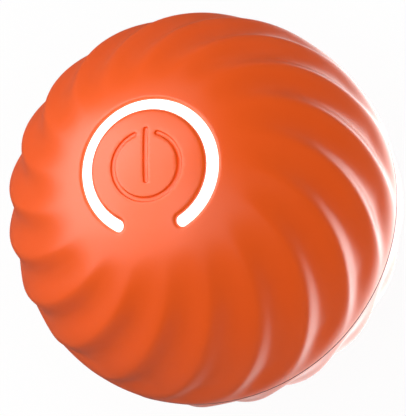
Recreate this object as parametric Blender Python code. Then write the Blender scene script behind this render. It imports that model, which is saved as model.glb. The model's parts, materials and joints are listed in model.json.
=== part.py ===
"""A self-moving rubber dog ball, built as its real pieces.

Metres, +Z up, with the origin at the ball's centre. +Z is the axis of the power button, and the
bottom of the power symbol points to -Y. Azimuths are measured from -Y, anticlockwise from above.
Run it with: blender --background --python part.py
"""
import math

import bmesh
import bpy
from mathutils import Matrix, Vector

MM = 0.001

# Fits
FIT = 0.3 * MM
OVERRUN = 4.0 * MM

# Rubber skins
BALL_RADIUS = 43.0 * MM
SKIN_THICKNESS = 3.5 * MM
RIDGE_DEPTH = 1.4 * MM
RIDGE_COUNT = 18
RIDGE_START_ANGLE = math.radians(11.7)
RIDGE_TWIST_ANGLE = math.radians(50.0)
RIDGE_FADE_FROM_ANGLE = math.radians(25.0)
RIDGE_FADE_TO_ANGLE = math.radians(56.0)
RIDGE_RISE_SHARE = 0.56
RIDGE_CREST_POWER = 1.65
RIDGE_VALLEY_POWER = 2.35
SEAM_RIM_DROP = 0.1 * MM
SEAM_RIM_REACH = 10.0 * MM
STEPS_PER_FLANK = 3
SKIN_RINGS = 9

# Power button: a tongue of the front skin inside the C of the light ring
LIGHT_RADIUS = 13.65 * MM
LIGHT_GAP_ANGLE = math.radians(30.3)
LIGHT_RIB_WIDTH = 2.4 * MM
LIGHT_RIB_SINK = 0.6 * MM
LIGHT_BASE_THICKNESS = 1.0 * MM
LIGHT_BASE_MARGIN = 1.45 * MM
BUTTON_THICKNESS = 1.8 * MM
BUTTON_TRAVEL_ANGLE = math.radians(1.5)
BUTTON_POST_RADIUS = 2.0 * MM
SYMBOL_RADIUS = 7.2 * MM
SYMBOL_LINE_WIDTH = 1.1 * MM
SYMBOL_LINE_DEPTH = 0.42 * MM
SYMBOL_GAP_ANGLE = math.radians(20.0)
SYMBOL_BAR_TOP = 7.75 * MM
SYMBOL_BAR_BOTTOM = 3.3 * MM

# Hard liners under the skins
LINER_THICKNESS = 1.8 * MM
LEDGE_THICKNESS = 1.2 * MM
LEDGE_WIDTH = 1.3 * MM
SPIGOT_THICKNESS = 1.5 * MM
SPIGOT_DEPTH = 4.0 * MM
SPIGOT_ROOT = 3.0 * MM
SPIGOT_CLEARANCE = 0.7 * MM
SEAL_DIAMETER = 0.9 * MM
SEAL_GROOVE_DEPTH = 0.9 * MM
SEAL_DROP = 1.9 * MM

# Screws
SCREW_RADIUS = 0.9 * MM
SCREW_HEAD_RADIUS = 1.8 * MM
SCREW_HEAD_HEIGHT = 1.1 * MM
SCREW_SOCKET_RADIUS = 0.7 * MM
SCREW_SOCKET_DEPTH = 0.6 * MM
CHASSIS_SCREW_LENGTH = 8.0 * MM
FRAME_SCREW_LENGTH = 7.0 * MM
BOARD_SCREW_LENGTH = 3.6 * MM
USB_SCREW_LENGTH = 4.6 * MM
WEIGHT_SCREW_LENGTH = 4.0 * MM
WEIGHT_SCREW_RADIUS = 0.5 * MM
WEIGHT_HEAD_RADIUS = 2.8 * MM
SCREW_BOSS_RADIUS = 2.5 * MM

# Motor
MOTOR_DIAMETER = 12.0 * MM
MOTOR_FLAT_WIDTH = 10.0 * MM
MOTOR_CAN_LENGTH = 12.5 * MM
MOTOR_CAP_LENGTH = 2.2 * MM
MOTOR_BOSS_RADIUS = 2.0 * MM
MOTOR_BOSS_LENGTH = 0.4 * MM
MOTOR_SHAFT_RADIUS = 0.75 * MM
MOTOR_SHAFT_SEAT = 3.0 * MM
MOTOR_REAR_SPACE = 0.6 * MM
CRADLE_WALL = 1.2 * MM

# Gears: three steps of the same wheel and pinion
GEAR_MODULE = 0.4 * MM
WHEEL_TEETH = 36
PINION_TEETH = 12
PRESSURE_ANGLE = math.radians(25.0)
GEAR_BACKLASH = 0.1 * MM
GEAR_ROOT_CLEARANCE = 0.1 * MM
GEAR_WIDTH = 2.0 * MM
GEAR_SPACING = 0.5 * MM
GEAR_SIDE_GAP = 0.8 * MM
HUB_SHARE = 0.85
PIN_RADIUS = 0.75 * MM
PIN_BOSS_RADIUS = 2.0 * MM
GEAR_B_ANGLE = math.radians(20.0)
GEAR_A_ANGLE = math.radians(50.0)
MOTOR_ANGLE = math.radians(150.0)

# Output shaft, bushes and weights
SHAFT_RADIUS = 1.5 * MM
SHAFT_FLAT = 0.4 * MM
BUSH_WALL = 0.8 * MM
BUSH_FLANGE_WIDTH = 1.0 * MM
BUSH_FLANGE_THICKNESS = 0.6 * MM
WEIGHT_RADIUS = 18.5 * MM
WEIGHT_THICKNESS = 8.0 * MM
WEIGHT_HALF_ANGLE = math.radians(75.0)
WEIGHT_HUB_RADIUS = 5.0 * MM

# Battery
BATTERY_WIDTH = 24.0 * MM
BATTERY_LENGTH = 28.0 * MM
BATTERY_HEIGHT = 6.0 * MM
BATTERY_DEPTH = 16.0 * MM
BATTERY_EDGE = 1.0 * MM
BATTERY_LEDGE_LENGTH = 12.0 * MM
BATTERY_LEDGE_WIDTH = 2.7 * MM
BATTERY_LEDGE_THICKNESS = 1.5 * MM

# Chassis frames
FRAME_THICKNESS = 1.8 * MM
FRAME_MARGIN = 0.4 * MM
COLUMN_RADIUS = 2.2 * MM
WEIGHT_CLEARANCE = 1.0 * MM
TAB_THICKNESS = 2.0 * MM
TAB_DEPTH = 6.0 * MM
BOSS_CLEARANCE = 1.0 * MM
NECK_WIDTH = 10.0 * MM
BOARD_TAB_WIDTH = 7.0 * MM

# Main board and what it carries
BOARD_THICKNESS = 1.6 * MM
LED_LENGTH = 2.8 * MM
LED_WIDTH = 2.0 * MM
LED_HEIGHT = 0.7 * MM
LED_COUNT = 6
BOARD_EDGE = 0.6 * MM
BOARD_SCREW_INSET = 5.95 * MM
SWITCH_WIDTH = 6.0 * MM
SWITCH_HEIGHT = 3.5 * MM
SWITCH_BORE_DEPTH = 1.3 * MM
PLUNGER_RADIUS = 1.75 * MM
PLUNGER_LENGTH = 1.6 * MM
CHIP_WIDTH = 5.0 * MM
CHIP_HEIGHT = 0.9 * MM
SENSOR_WIDTH = 3.0 * MM
SENSOR_HEIGHT = 1.0 * MM
PART_SPACING = 1.5 * MM

# Charging port on the rear half
PORT_POLAR_ANGLE = math.radians(120.0)
COVER_RADIUS = 7.5 * MM
COVER_HINGE_HEIGHT = 6.0 * MM
COVER_THICKNESS = 1.6 * MM
SPIGOT_PLUG_DEPTH = 1.1 * MM
SPIGOT_PLUG_CLEARANCE = 0.6 * MM
PAD_MARGIN = 1.5 * MM
PAD_FADE = 6.0 * MM
WELL_WIDTH = 12.6 * MM
WELL_HEIGHT = 6.9 * MM
SOCKET_WIDTH = 8.94 * MM
SOCKET_HEIGHT = 3.26 * MM
SOCKET_LENGTH = 7.3 * MM
SOCKET_WALL = 0.3 * MM
SOCKET_BACK = 1.0 * MM
SOCKET_SINK = 0.2 * MM
SOCKET_TONGUE_WIDTH = 6.6 * MM
SOCKET_TONGUE_THICKNESS = 0.7 * MM
SOCKET_TONGUE_LENGTH = 4.5 * MM
USB_BOARD_WIDTH = 11.0 * MM
USB_BOARD_LENGTH = 16.4 * MM
USB_BOARD_THICKNESS = 1.0 * MM

# Wires
LEAD_RADIUS = 0.45 * MM
LEAD_SPACING = 3.0 * MM
LEAD_STEPS = 2
CELL_LEAD_ANGLES = [math.radians(angle) for angle in (215.0, 190.0, 165.0, 140.0, 122.0)]
SOCKET_LEAD_ANGLES = [math.radians(angle) for angle in (-12.0, 8.0, 28.0, 48.0, 64.0)]

# Facets
TURN_STEPS = 30
SMALL_STEPS = 12
CAP_STEPS = 24
SCREW_STEPS = 8
ARC_STEPS = 22
END_STEPS = 3
POLAR_STEP_ANGLE = math.radians(12.0)
CAP_STEP_ANGLE = math.radians(6.0)

# Sizes that follow from those above
LINER_OUTER_RADIUS = BALL_RADIUS - SKIN_THICKNESS - FIT
CAVITY_RADIUS = LINER_OUTER_RADIUS - LINER_THICKNESS
SPIGOT_OUTER_RADIUS = CAVITY_RADIUS - SPIGOT_CLEARANCE
SLOT_HALF_WIDTH = LIGHT_RIB_WIDTH / 2 + FIT
LIGHT_BASE_INNER = LIGHT_RADIUS - LIGHT_RIB_WIDTH / 2 - LIGHT_BASE_MARGIN
LIGHT_BASE_OUTER = LIGHT_RADIUS + LIGHT_RIB_WIDTH / 2 + LIGHT_BASE_MARGIN
LEDGE_TOP_RADIUS = LINER_OUTER_RADIUS - LIGHT_BASE_THICKNESS - FIT
LEDGE_BOTTOM_RADIUS = LEDGE_TOP_RADIUS - LEDGE_THICKNESS
LEDGE_EDGE = LIGHT_BASE_OUTER + FIT - LEDGE_WIDTH

LED_CIRCLE = LIGHT_RADIUS - LED_WIDTH / 4
BOARD_RADIUS = LED_CIRCLE + LED_WIDTH / 2 + BOARD_EDGE
BOARD_TOP = math.sqrt((LEDGE_BOTTOM_RADIUS - FIT) ** 2 - (BOARD_RADIUS + FIT) ** 2)
BOARD_BOTTOM = BOARD_TOP - BOARD_THICKNESS
SWITCH_TOP = BOARD_TOP + FIT + SWITCH_HEIGHT
BUTTON_TRAVEL = LIGHT_RADIUS * math.tan(BUTTON_TRAVEL_ANGLE)
PLUNGER_BOTTOM = SWITCH_TOP - SWITCH_BORE_DEPTH + FIT + BUTTON_TRAVEL
PLUNGER_TOP = PLUNGER_BOTTOM + PLUNGER_LENGTH
POST_BOTTOM = PLUNGER_TOP + FIT
BUTTON_HINGE_Z = math.sqrt((BALL_RADIUS - BUTTON_THICKNESS / 2) ** 2 - LIGHT_RADIUS ** 2)

MOTOR_LENGTH = MOTOR_CAN_LENGTH + FIT + MOTOR_CAP_LENGTH
GEAR_STACK = 3 * GEAR_WIDTH + 2 * GEAR_SPACING
DRIVE_LENGTH = MOTOR_REAR_SPACE + MOTOR_LENGTH + GEAR_SIDE_GAP + GEAR_STACK + GEAR_SIDE_GAP
FRAME_X = max(DRIVE_LENGTH, BATTERY_WIDTH + 2 * FIT) / 2
FRAME_OUTER_X = FRAME_X + FRAME_THICKNESS
MOTOR_REAR_X = MOTOR_REAR_SPACE - FRAME_X
MOTOR_FRONT_X = MOTOR_REAR_X + MOTOR_LENGTH
LAYER_1 = MOTOR_FRONT_X + GEAR_SIDE_GAP
LAYER_2 = LAYER_1 + GEAR_WIDTH + GEAR_SPACING
LAYER_3 = LAYER_2 + GEAR_WIDTH + GEAR_SPACING
CENTRE_DISTANCE = GEAR_MODULE * (WHEEL_TEETH + PINION_TEETH) / 2
PINION_ROOT_RADIUS = GEAR_MODULE * PINION_TEETH / 2 - GEAR_MODULE - GEAR_ROOT_CLEARANCE
HUB_RADIUS = PINION_ROOT_RADIUS * HUB_SHARE
GEAR_B_Y = CENTRE_DISTANCE * math.cos(GEAR_B_ANGLE)
GEAR_B_Z = CENTRE_DISTANCE * math.sin(GEAR_B_ANGLE)
GEAR_A_Y = GEAR_B_Y + CENTRE_DISTANCE * math.cos(GEAR_A_ANGLE)
GEAR_A_Z = GEAR_B_Z + CENTRE_DISTANCE * math.sin(GEAR_A_ANGLE)
MOTOR_Y = GEAR_A_Y + CENTRE_DISTANCE * math.cos(MOTOR_ANGLE)
MOTOR_Z = GEAR_A_Z + CENTRE_DISTANCE * math.sin(MOTOR_ANGLE)

BUSH_RADIUS = SHAFT_RADIUS + FIT + BUSH_WALL
WEIGHT_X = FRAME_OUTER_X + FIT + BUSH_FLANGE_THICKNESS + FIT
WEIGHT_END_X = WEIGHT_X + WEIGHT_THICKNESS
COLUMN_CIRCLE = WEIGHT_RADIUS + WEIGHT_CLEARANCE + SCREW_HEAD_RADIUS
COLUMN_Y = BATTERY_LENGTH / 2 + FIT + COLUMN_RADIUS
COLUMN_Z = math.sqrt(COLUMN_CIRCLE ** 2 - COLUMN_Y ** 2)
FRAME_RADIUS = COLUMN_CIRCLE + COLUMN_RADIUS + FRAME_MARGIN
CHASSIS_SCREW_Y = COLUMN_Y + COLUMN_RADIUS + BOSS_CLEARANCE + SCREW_BOSS_RADIUS
CHASSIS_SCREW_X = FRAME_X - BOSS_CLEARANCE - SCREW_BOSS_RADIUS
BOARD_SCREW_X = BOARD_RADIUS - BOARD_SCREW_INSET

PIN_HOLE_END = FRAME_X + FRAME_THICKNESS * 2 / 3

PORT_AXIS = Vector((0.0, math.sin(PORT_POLAR_ANGLE), math.cos(PORT_POLAR_ANGLE)))
PORT_UP = Vector((0.0, -math.cos(PORT_POLAR_ANGLE), math.sin(PORT_POLAR_ANGLE)))
COVER_FLOOR_RADIUS = BALL_RADIUS - COVER_THICKNESS - FIT
COVER_AXIS_HEIGHT = COVER_HINGE_HEIGHT + FIT / 2
COVER_AXIS_OUT = math.sqrt(BALL_RADIUS ** 2 - COVER_HINGE_HEIGHT ** 2)
SOCKET_MOUTH = LINER_OUTER_RADIUS - SOCKET_SINK
USB_BOARD_OUT = SOCKET_MOUTH - SOCKET_LENGTH - FIT
USB_BOARD_IN = USB_BOARD_OUT - USB_BOARD_THICKNESS
USB_SCREW_SPREAD = USB_BOARD_LENGTH / 2 - SCREW_HEAD_RADIUS - FIT

# Local frames: columns are the local x, y and z axes in the world
UPRIGHT = Matrix.Identity(4)
DOWNWARD = Matrix.Rotation(math.pi, 4, "X")
SIDEWAYS = Matrix(((0, 0, 1), (1, 0, 0), (0, 1, 0))).to_4x4()
LEFTWARD = Matrix.Rotation(math.pi, 4, "Z") @ SIDEWAYS
PORTWARD = Matrix((PORT_UP.cross(PORT_AXIS), PORT_UP, PORT_AXIS)).transposed().to_4x4()

# Finishes: colour, roughness, metallic
RUBBER = ((0.86, 0.12, 0.02), 0.45, 0.0)
LIGHT_GUIDE = ((0.95, 0.95, 0.95), 0.3, 0.0)
HARD_PLASTIC = ((0.02, 0.02, 0.02), 0.4, 0.0)
FRAME_PLASTIC = ((0.75, 0.75, 0.72), 0.45, 0.0)
GEAR_PLASTIC = ((0.85, 0.83, 0.75), 0.35, 0.0)
SEAL_RUBBER = ((0.03, 0.03, 0.03), 0.7, 0.0)
BOARD_GREEN = ((0.01, 0.16, 0.05), 0.4, 0.0)
CHIP_BLACK = ((0.015, 0.015, 0.015), 0.5, 0.0)
LED_YELLOW = ((0.9, 0.75, 0.25), 0.3, 0.0)
STEEL = ((0.55, 0.56, 0.58), 0.3, 1.0)
WEIGHT_STEEL = ((0.42, 0.42, 0.43), 0.45, 1.0)
BRONZE = ((0.55, 0.33, 0.14), 0.4, 1.0)
CELL_FOIL = ((0.6, 0.62, 0.65), 0.35, 0.6)
LEAD_RED = ((0.6, 0.02, 0.02), 0.4, 0.0)
LEAD_BLACK = ((0.02, 0.02, 0.02), 0.4, 0.0)


def clear_scene():
    """Removes whatever the scene holds."""
    for item in list(bpy.data.objects):
        bpy.data.objects.remove(item)


def height_at(radius, offset):
    """Height of a sphere's surface at a distance from its axis."""
    return math.sqrt(radius ** 2 - offset ** 2)


def smooth_step(value, low, high):
    """Rises smoothly from 0 at low to 1 at high."""
    share = min(max((value - low) / (high - low), 0.0), 1.0)
    return share * share * (3 - 2 * share)


def around(radius, azimuth):
    """A point on a circle, with its azimuth measured from -Y."""
    return (radius * math.sin(azimuth), -radius * math.cos(azimuth))


def make_object(name, points, faces):
    """Makes a closed solid with its faces pointing out."""
    mesh = bpy.data.meshes.new(name)
    mesh.from_pydata(points, [], faces)
    work = bmesh.new()
    work.from_mesh(mesh)
    bmesh.ops.recalc_face_normals(work, faces=work.faces)
    work.to_mesh(mesh)
    work.free()
    item = bpy.data.objects.new(name, mesh)
    bpy.context.collection.objects.link(item)
    return item


def turn(name, profile, frame=UPRIGHT, steps=TURN_STEPS):
    """Turns a closed profile of (radius, height) points about the local z axis."""
    points = []
    rings = []
    for radius, height in profile:
        count = 1 if radius == 0 else steps
        ring = []
        for index in range(count):
            x, y = around(radius, math.tau * index / steps)
            ring.append(len(points))
            points.append(frame @ Vector((x, y, height)))
        rings.append(ring)
    faces = []
    for low, high in zip(rings, rings[1:] + rings[:1]):
        if len(low) == 1 and len(high) == 1:
            continue
        for index in range(steps):
            after = (index + 1) % steps
            face = [low[index % len(low)], low[after % len(low)]]
            face += [high[after % len(high)], high[index % len(high)]]
            faces.append(list(dict.fromkeys(face)))
    return make_object(name, points, faces)


def prism(name, outline, low, high, frame=UPRIGHT):
    """Extrudes an outline of (x, y) points along the local z axis."""
    count = len(outline)
    points = []
    for height in (low, high):
        points += [frame @ Vector((x, y, height)) for x, y in outline]
    faces = [list(range(count)), list(range(count, 2 * count))]
    for index in range(count):
        after = (index + 1) % count
        faces.append([index, after, count + after, count + index])
    return make_object(name, points, faces)


def block(name, low, high, frame=UPRIGHT):
    """A box between two corners of the local frame."""
    outline = [(low[0], low[1]), (high[0], low[1]), (high[0], high[1]), (low[0], high[1])]
    return prism(name, outline, low[2], high[2], frame)


def rod(name, radius, low, high, frame=UPRIGHT, centre=(0.0, 0.0), steps=SMALL_STEPS):
    """A round bar along the local z axis."""
    outline = []
    for index in range(steps):
        x, y = around(radius, math.tau * index / steps)
        outline.append((centre[0] + x, centre[1] + y))
    return prism(name, outline, low, high, frame)


def bake(item):
    """Replaces an object's mesh by its evaluated mesh."""
    evaluated = item.evaluated_get(bpy.context.evaluated_depsgraph_get())
    mesh = bpy.data.meshes.new_from_object(evaluated)
    item.modifiers.clear()
    item.data = mesh


def combine(item, operation, tools):
    """Joins tools to an object, cuts them from it, or keeps what they share with it."""
    for tool in tools:
        modifier = item.modifiers.new("boolean", "BOOLEAN")
        modifier.operation = operation
        modifier.solver = "EXACT"
        modifier.object = tool
        bake(item)
        bpy.data.objects.remove(tool)
    return item


def join(item, *tools):
    return combine(item, "UNION", tools)


def cut(item, *tools):
    return combine(item, "DIFFERENCE", tools)


def keep(item, tool):
    return combine(item, "INTERSECT", [tool])


def arc(radius, start, end, steps):
    """Points (radius, height) of a sphere's profile between two polar angles."""
    points = []
    for index in range(steps + 1):
        polar = start + (end - start) * index / steps
        points.append((radius * math.sin(polar), radius * math.cos(polar)))
    return points


def steps_for(span, step):
    """Number of equal steps, none longer than the step, that fill a span."""
    return max(1, math.ceil(abs(span) / step))


def cap_piece(name, outline, inner_radius, outer_radius, frame=UPRIGHT):
    """The part of a spherical shell that an outline, seen along the local z axis, encloses."""
    reach = max(math.hypot(x, y) for x, y in outline) + OVERRUN / 4
    polar = math.asin(reach / inner_radius)
    steps = steps_for(polar, CAP_STEP_ANGLE)
    profile = arc(inner_radius, 0.0, polar, steps) + arc(outer_radius, polar, 0.0, steps)
    profile[0] = (0.0, inner_radius)
    profile[-1] = (0.0, outer_radius)
    shell = turn(name, profile, frame, CAP_STEPS)
    low = inner_radius * math.cos(polar) - OVERRUN
    return keep(shell, prism("outline", outline, low, outer_radius + OVERRUN, frame))


def band_outline(radius, half_width, start, end):
    """An arc-shaped band with round ends."""
    points = []
    for side in (1, -1):
        first = start if side > 0 else end
        last = end if side > 0 else start
        for index in range(ARC_STEPS + 1):
            azimuth = first + (last - first) * index / ARC_STEPS
            points.append(around(radius + side * half_width, azimuth))
        centre_x, centre_y = around(radius, last)
        for index in range(1, 2 * END_STEPS):
            turn_angle = math.pi * index / (2 * END_STEPS)
            across = side * half_width * math.cos(turn_angle)
            along = half_width * math.sin(turn_angle) * side
            out_x, out_y = around(1.0, last)
            points.append((centre_x + across * out_x - along * out_y,
                           centre_y + across * out_y + along * out_x))
    return points


def stadium_outline(width, height):
    """A bar with round ends, wide along the local x axis."""
    radius = height / 2
    straight = width / 2 - radius
    points = []
    for side in (1, -1):
        for index in range(2 * END_STEPS + 1):
            angle = math.pi * index / (2 * END_STEPS) - math.pi / 2
            points.append((side * (straight + radius * math.cos(angle)), side * radius * math.sin(angle)))
    return points


def chord_outline(radius, chord, steps=ARC_STEPS):
    """A circle that is cut off straight at a height above its centre."""
    limit = math.acos(chord / radius)
    points = []
    for index in range(steps + 1):
        angle = math.pi / 2 + limit + (math.tau - 2 * limit) * index / steps
        points.append((radius * math.cos(angle), radius * math.sin(angle)))
    return points


def paint(item, look):
    """Gives an object a material of its own."""
    colour, roughness, metallic = look
    material = bpy.data.materials.new(item.name)
    material.use_nodes = True
    shader = material.node_tree.nodes["Principled BSDF"]
    shader.inputs["Base Color"].default_value = (*colour, 1.0)
    shader.inputs["Roughness"].default_value = roughness
    shader.inputs["Metallic"].default_value = metallic
    material.diffuse_color = (*colour, 1.0)
    item.data.materials.clear()
    item.data.materials.append(material)


def finish(item, look, centre=(0.0, 0.0, 0.0)):
    """Gives an object its material and puts its origin where it turns."""
    paint(item, look)
    item.data.transform(Matrix.Translation(-Vector(centre)))
    item.location = centre
    item.data.shade_smooth()
    item.data.set_sharp_from_angle(angle=math.radians(30.0))
    return item


def screw(name, length, frame, head_radius=SCREW_HEAD_RADIUS, radius=SCREW_RADIUS):
    """A pan-head screw that points down the local z axis, its head resting at height zero."""
    profile = [
        (0.0, -length),
        (radius, -length),
        (radius, 0.0),
        (head_radius, 0.0),
        (head_radius, SCREW_HEAD_HEIGHT),
        (SCREW_SOCKET_RADIUS, SCREW_HEAD_HEIGHT),
        (SCREW_SOCKET_RADIUS, SCREW_HEAD_HEIGHT - SCREW_SOCKET_DEPTH),
        (0.0, SCREW_HEAD_HEIGHT - SCREW_SOCKET_DEPTH),
    ]
    return finish(turn(name, profile, frame, SCREW_STEPS), STEEL)


def moved(frame, x, y, z):
    """A local frame shifted along its own axes."""
    return frame @ Matrix.Translation((x, y, z))


def ridge_relief(polar, azimuth):
    """How far the skin lies below the ball's full radius. The ridges run out into a rim at the seam."""
    from_pole = min(polar, math.pi - polar)
    relief = smooth_step(from_pole, RIDGE_FADE_FROM_ANGLE, RIDGE_FADE_TO_ANGLE)
    x, y = around(math.sin(polar), azimuth)
    off_port = Vector((x, y, math.cos(polar))).angle(PORT_AXIS) * BALL_RADIUS
    pad = COVER_RADIUS + PAD_MARGIN
    relief *= smooth_step(off_port, pad, pad + PAD_FADE)
    valley = RIDGE_START_ANGLE + RIDGE_TWIST_ANGLE * math.cos(polar)
    turns = (azimuth - valley) * RIDGE_COUNT / math.tau
    place = turns - math.floor(turns)
    off_crest = 1 - min(place / RIDGE_RISE_SHARE, (1 - place) / (1 - RIDGE_RISE_SHARE))
    wave = RIDGE_DEPTH * (1 - (1 - off_crest ** RIDGE_CREST_POWER) ** RIDGE_VALLEY_POWER)
    off_seam = (math.pi / 2 - from_pole) * BALL_RADIUS
    ridged = smooth_step(off_seam, 0.0, SEAM_RIM_REACH)
    return relief * (SEAM_RIM_DROP + (wave - SEAM_RIM_DROP) * ridged)


def ridge_columns():
    """Azimuths of the points of one ring from its first valley, with one on each crest."""
    columns = []
    for ridge in range(RIDGE_COUNT):
        for step in range(STEPS_PER_FLANK):
            columns.append(ridge + RIDGE_RISE_SHARE * step / STEPS_PER_FLANK)
        for step in range(STEPS_PER_FLANK):
            columns.append(ridge + RIDGE_RISE_SHARE + (1 - RIDGE_RISE_SHARE) * step / STEPS_PER_FLANK)
    return [math.tau * column / RIDGE_COUNT for column in columns]


def skin_half(name, side):
    """A ridged half ball, solid, with its flat face at the seam."""
    columns = ridge_columns()
    steps = len(columns)
    points = [Vector((0.0, 0.0, side * BALL_RADIUS))]
    for ring in range(1, SKIN_RINGS + 1):
        off_pole = math.pi / 2 * ring / SKIN_RINGS
        polar = off_pole if side > 0 else math.pi - off_pole
        valley = RIDGE_START_ANGLE + RIDGE_TWIST_ANGLE * math.cos(polar)
        for column in columns:
            azimuth = valley + column
            radius = BALL_RADIUS - ridge_relief(polar, azimuth)
            x, y = around(radius * math.sin(polar), azimuth)
            z = side * FIT / 2 if ring == SKIN_RINGS else radius * math.cos(polar)
            points.append(Vector((x, y, z)))
    faces = [[0, 1 + index, 1 + (index + 1) % steps] for index in range(steps)]
    for ring in range(SKIN_RINGS - 1):
        low = 1 + ring * steps
        high = low + steps
        for index in range(steps):
            after = (index + 1) % steps
            faces.append([low + index, low + after, high + after, high + index])
    faces.append(list(range(1 + (SKIN_RINGS - 1) * steps, 1 + SKIN_RINGS * steps)))
    return make_object(name, points, faces)


def ball_tool(radius, frame=UPRIGHT, low_angle=math.pi / 2):
    """A turned cap of a ball that reaches a little past its middle."""
    steps = steps_for(low_angle, POLAR_STEP_ANGLE)
    profile = arc(radius, 0.0, low_angle, steps)
    profile[0] = (0.0, radius)
    profile += [(radius, -OVERRUN), (0.0, -OVERRUN)]
    return turn("ball_tool", profile, frame)


def button_outline(side):
    """The edge of the button's slot: the skin's edge for side 1, the button's for side -1."""
    start = LIGHT_GAP_ANGLE
    end = math.tau - LIGHT_GAP_ANGLE
    edge = LIGHT_RADIUS + side * SLOT_HALF_WIDTH
    neck = LIGHT_RADIUS + side * FIT / 2
    limit = math.acos(FIT / 2 / SLOT_HALF_WIDTH)
    points = []
    for index in range(ARC_STEPS + 1):
        points.append(around(edge, start + (end - start) * index / ARC_STEPS))
    tip = []
    for index in range(1, END_STEPS + 1):
        angle = limit * index / END_STEPS
        along = SLOT_HALF_WIDTH * math.sin(angle) / LIGHT_RADIUS
        across = LIGHT_RADIUS + side * SLOT_HALF_WIDTH * math.cos(angle)
        tip.append((across, along))
    for across, along in tip:
        points.append(around(across, end + along))
    neck_half = LIGHT_GAP_ANGLE - tip[-1][1]
    for index in range(1, END_STEPS):
        points.append(around(neck, neck_half * (2 * index / END_STEPS - 1)))
    for across, along in reversed(tip):
        points.append(around(across, start - along))
    return points


def front_skin():
    """The front rubber half, open where the button and the light sit."""
    skin = cut(skin_half("front_skin", 1), ball_tool(BALL_RADIUS - SKIN_THICKNESS))
    low = height_at(BALL_RADIUS - SKIN_THICKNESS, LIGHT_BASE_OUTER) - OVERRUN
    cut(skin, prism("slot_tool", button_outline(1), low, BALL_RADIUS + OVERRUN))
    return finish(skin, RUBBER)


def symbol_tools():
    """Cutters for the broken ring and the bar of the power symbol."""
    floor = BALL_RADIUS - SYMBOL_LINE_DEPTH
    half = SYMBOL_LINE_WIDTH / 2
    start = math.pi + SYMBOL_GAP_ANGLE
    end = math.pi - SYMBOL_GAP_ANGLE + math.tau
    ring = band_outline(SYMBOL_RADIUS, half, start, end)
    length = SYMBOL_BAR_TOP + SYMBOL_BAR_BOTTOM + SYMBOL_LINE_WIDTH
    middle = (SYMBOL_BAR_TOP - SYMBOL_BAR_BOTTOM) / 2
    bar = [(y, middle - x) for x, y in stadium_outline(length, SYMBOL_LINE_WIDTH)]
    return [cap_piece("symbol_tool", line, floor, BALL_RADIUS + OVERRUN) for line in (ring, bar)]


def power_button():
    """The tongue inside the C, with the post that presses the switch."""
    inner = BALL_RADIUS - BUTTON_THICKNESS
    button = cap_piece("power_button", button_outline(-1), inner, BALL_RADIUS)
    join(button, rod("post", BUTTON_POST_RADIUS, POST_BOTTOM, inner + BUTTON_THICKNESS / 3))
    cut(button, *symbol_tools())
    return finish(button, RUBBER, (0.0, -LIGHT_RADIUS, BUTTON_HINGE_Z))


def light_ring():
    """The light guide: a C-shaped rib on a round base that lies in the liner's mouth."""
    low = LINER_OUTER_RADIUS - LIGHT_BASE_THICKNESS
    middle = (LIGHT_BASE_INNER + LIGHT_BASE_OUTER) / 2
    radii = (LIGHT_BASE_INNER, middle, LIGHT_BASE_OUTER)
    profile = [(radius, height_at(low, radius)) for radius in radii]
    profile += [(radius, height_at(LINER_OUTER_RADIUS, radius)) for radius in reversed(radii)]
    base = turn("light_ring", profile)
    end = math.tau - LIGHT_GAP_ANGLE
    outline = band_outline(LIGHT_RADIUS, LIGHT_RIB_WIDTH / 2, LIGHT_GAP_ANGLE, end)
    foot = LINER_OUTER_RADIUS - LIGHT_BASE_THICKNESS / 2
    join(base, cap_piece("rib", outline, foot, BALL_RADIUS - LIGHT_RIB_SINK))
    return finish(base, LIGHT_GUIDE)


def front_liner():
    """The front hard shell, with the light's ledge and the spigot that enters the rear shell."""
    mouth = LIGHT_BASE_OUTER + FIT
    mouth_polar = math.asin(mouth / LINER_OUTER_RADIUS)
    ledge_end = mouth + LEDGE_WIDTH
    ledge_polar = math.asin(ledge_end / CAVITY_RADIUS)
    spigot_inner = SPIGOT_OUTER_RADIUS - SPIGOT_THICKNESS
    root_polar = math.acos((SPIGOT_ROOT + SPIGOT_THICKNESS) / CAVITY_RADIUS)
    groove_half = SEAL_DIAMETER / 2 + FIT
    groove_floor = SPIGOT_OUTER_RADIUS - SEAL_GROOVE_DEPTH
    outer_steps = steps_for(math.pi / 2 - mouth_polar, POLAR_STEP_ANGLE)
    inner_steps = steps_for(root_polar - ledge_polar, POLAR_STEP_ANGLE)
    profile = arc(LINER_OUTER_RADIUS, math.pi / 2, mouth_polar, outer_steps)
    profile[0] = (LINER_OUTER_RADIUS, FIT / 2)
    profile += [
        (mouth, height_at(LEDGE_TOP_RADIUS, mouth)),
        (LEDGE_EDGE, height_at(LEDGE_TOP_RADIUS, LEDGE_EDGE)),
        (LEDGE_EDGE, height_at(LEDGE_BOTTOM_RADIUS, LEDGE_EDGE)),
        (mouth, height_at(LEDGE_BOTTOM_RADIUS, mouth)),
    ]
    profile += arc(CAVITY_RADIUS, ledge_polar, root_polar, inner_steps)
    profile += [
        (spigot_inner, SPIGOT_ROOT),
        (spigot_inner, -SPIGOT_DEPTH),
        (SPIGOT_OUTER_RADIUS, -SPIGOT_DEPTH),
        (SPIGOT_OUTER_RADIUS, -SEAL_DROP - groove_half),
        (groove_floor, -SEAL_DROP - groove_half),
        (groove_floor, -SEAL_DROP + groove_half),
        (SPIGOT_OUTER_RADIUS, -SEAL_DROP + groove_half),
        (SPIGOT_OUTER_RADIUS, FIT / 2),
    ]
    return finish(turn("front_liner", profile), HARD_PLASTIC)


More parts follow.
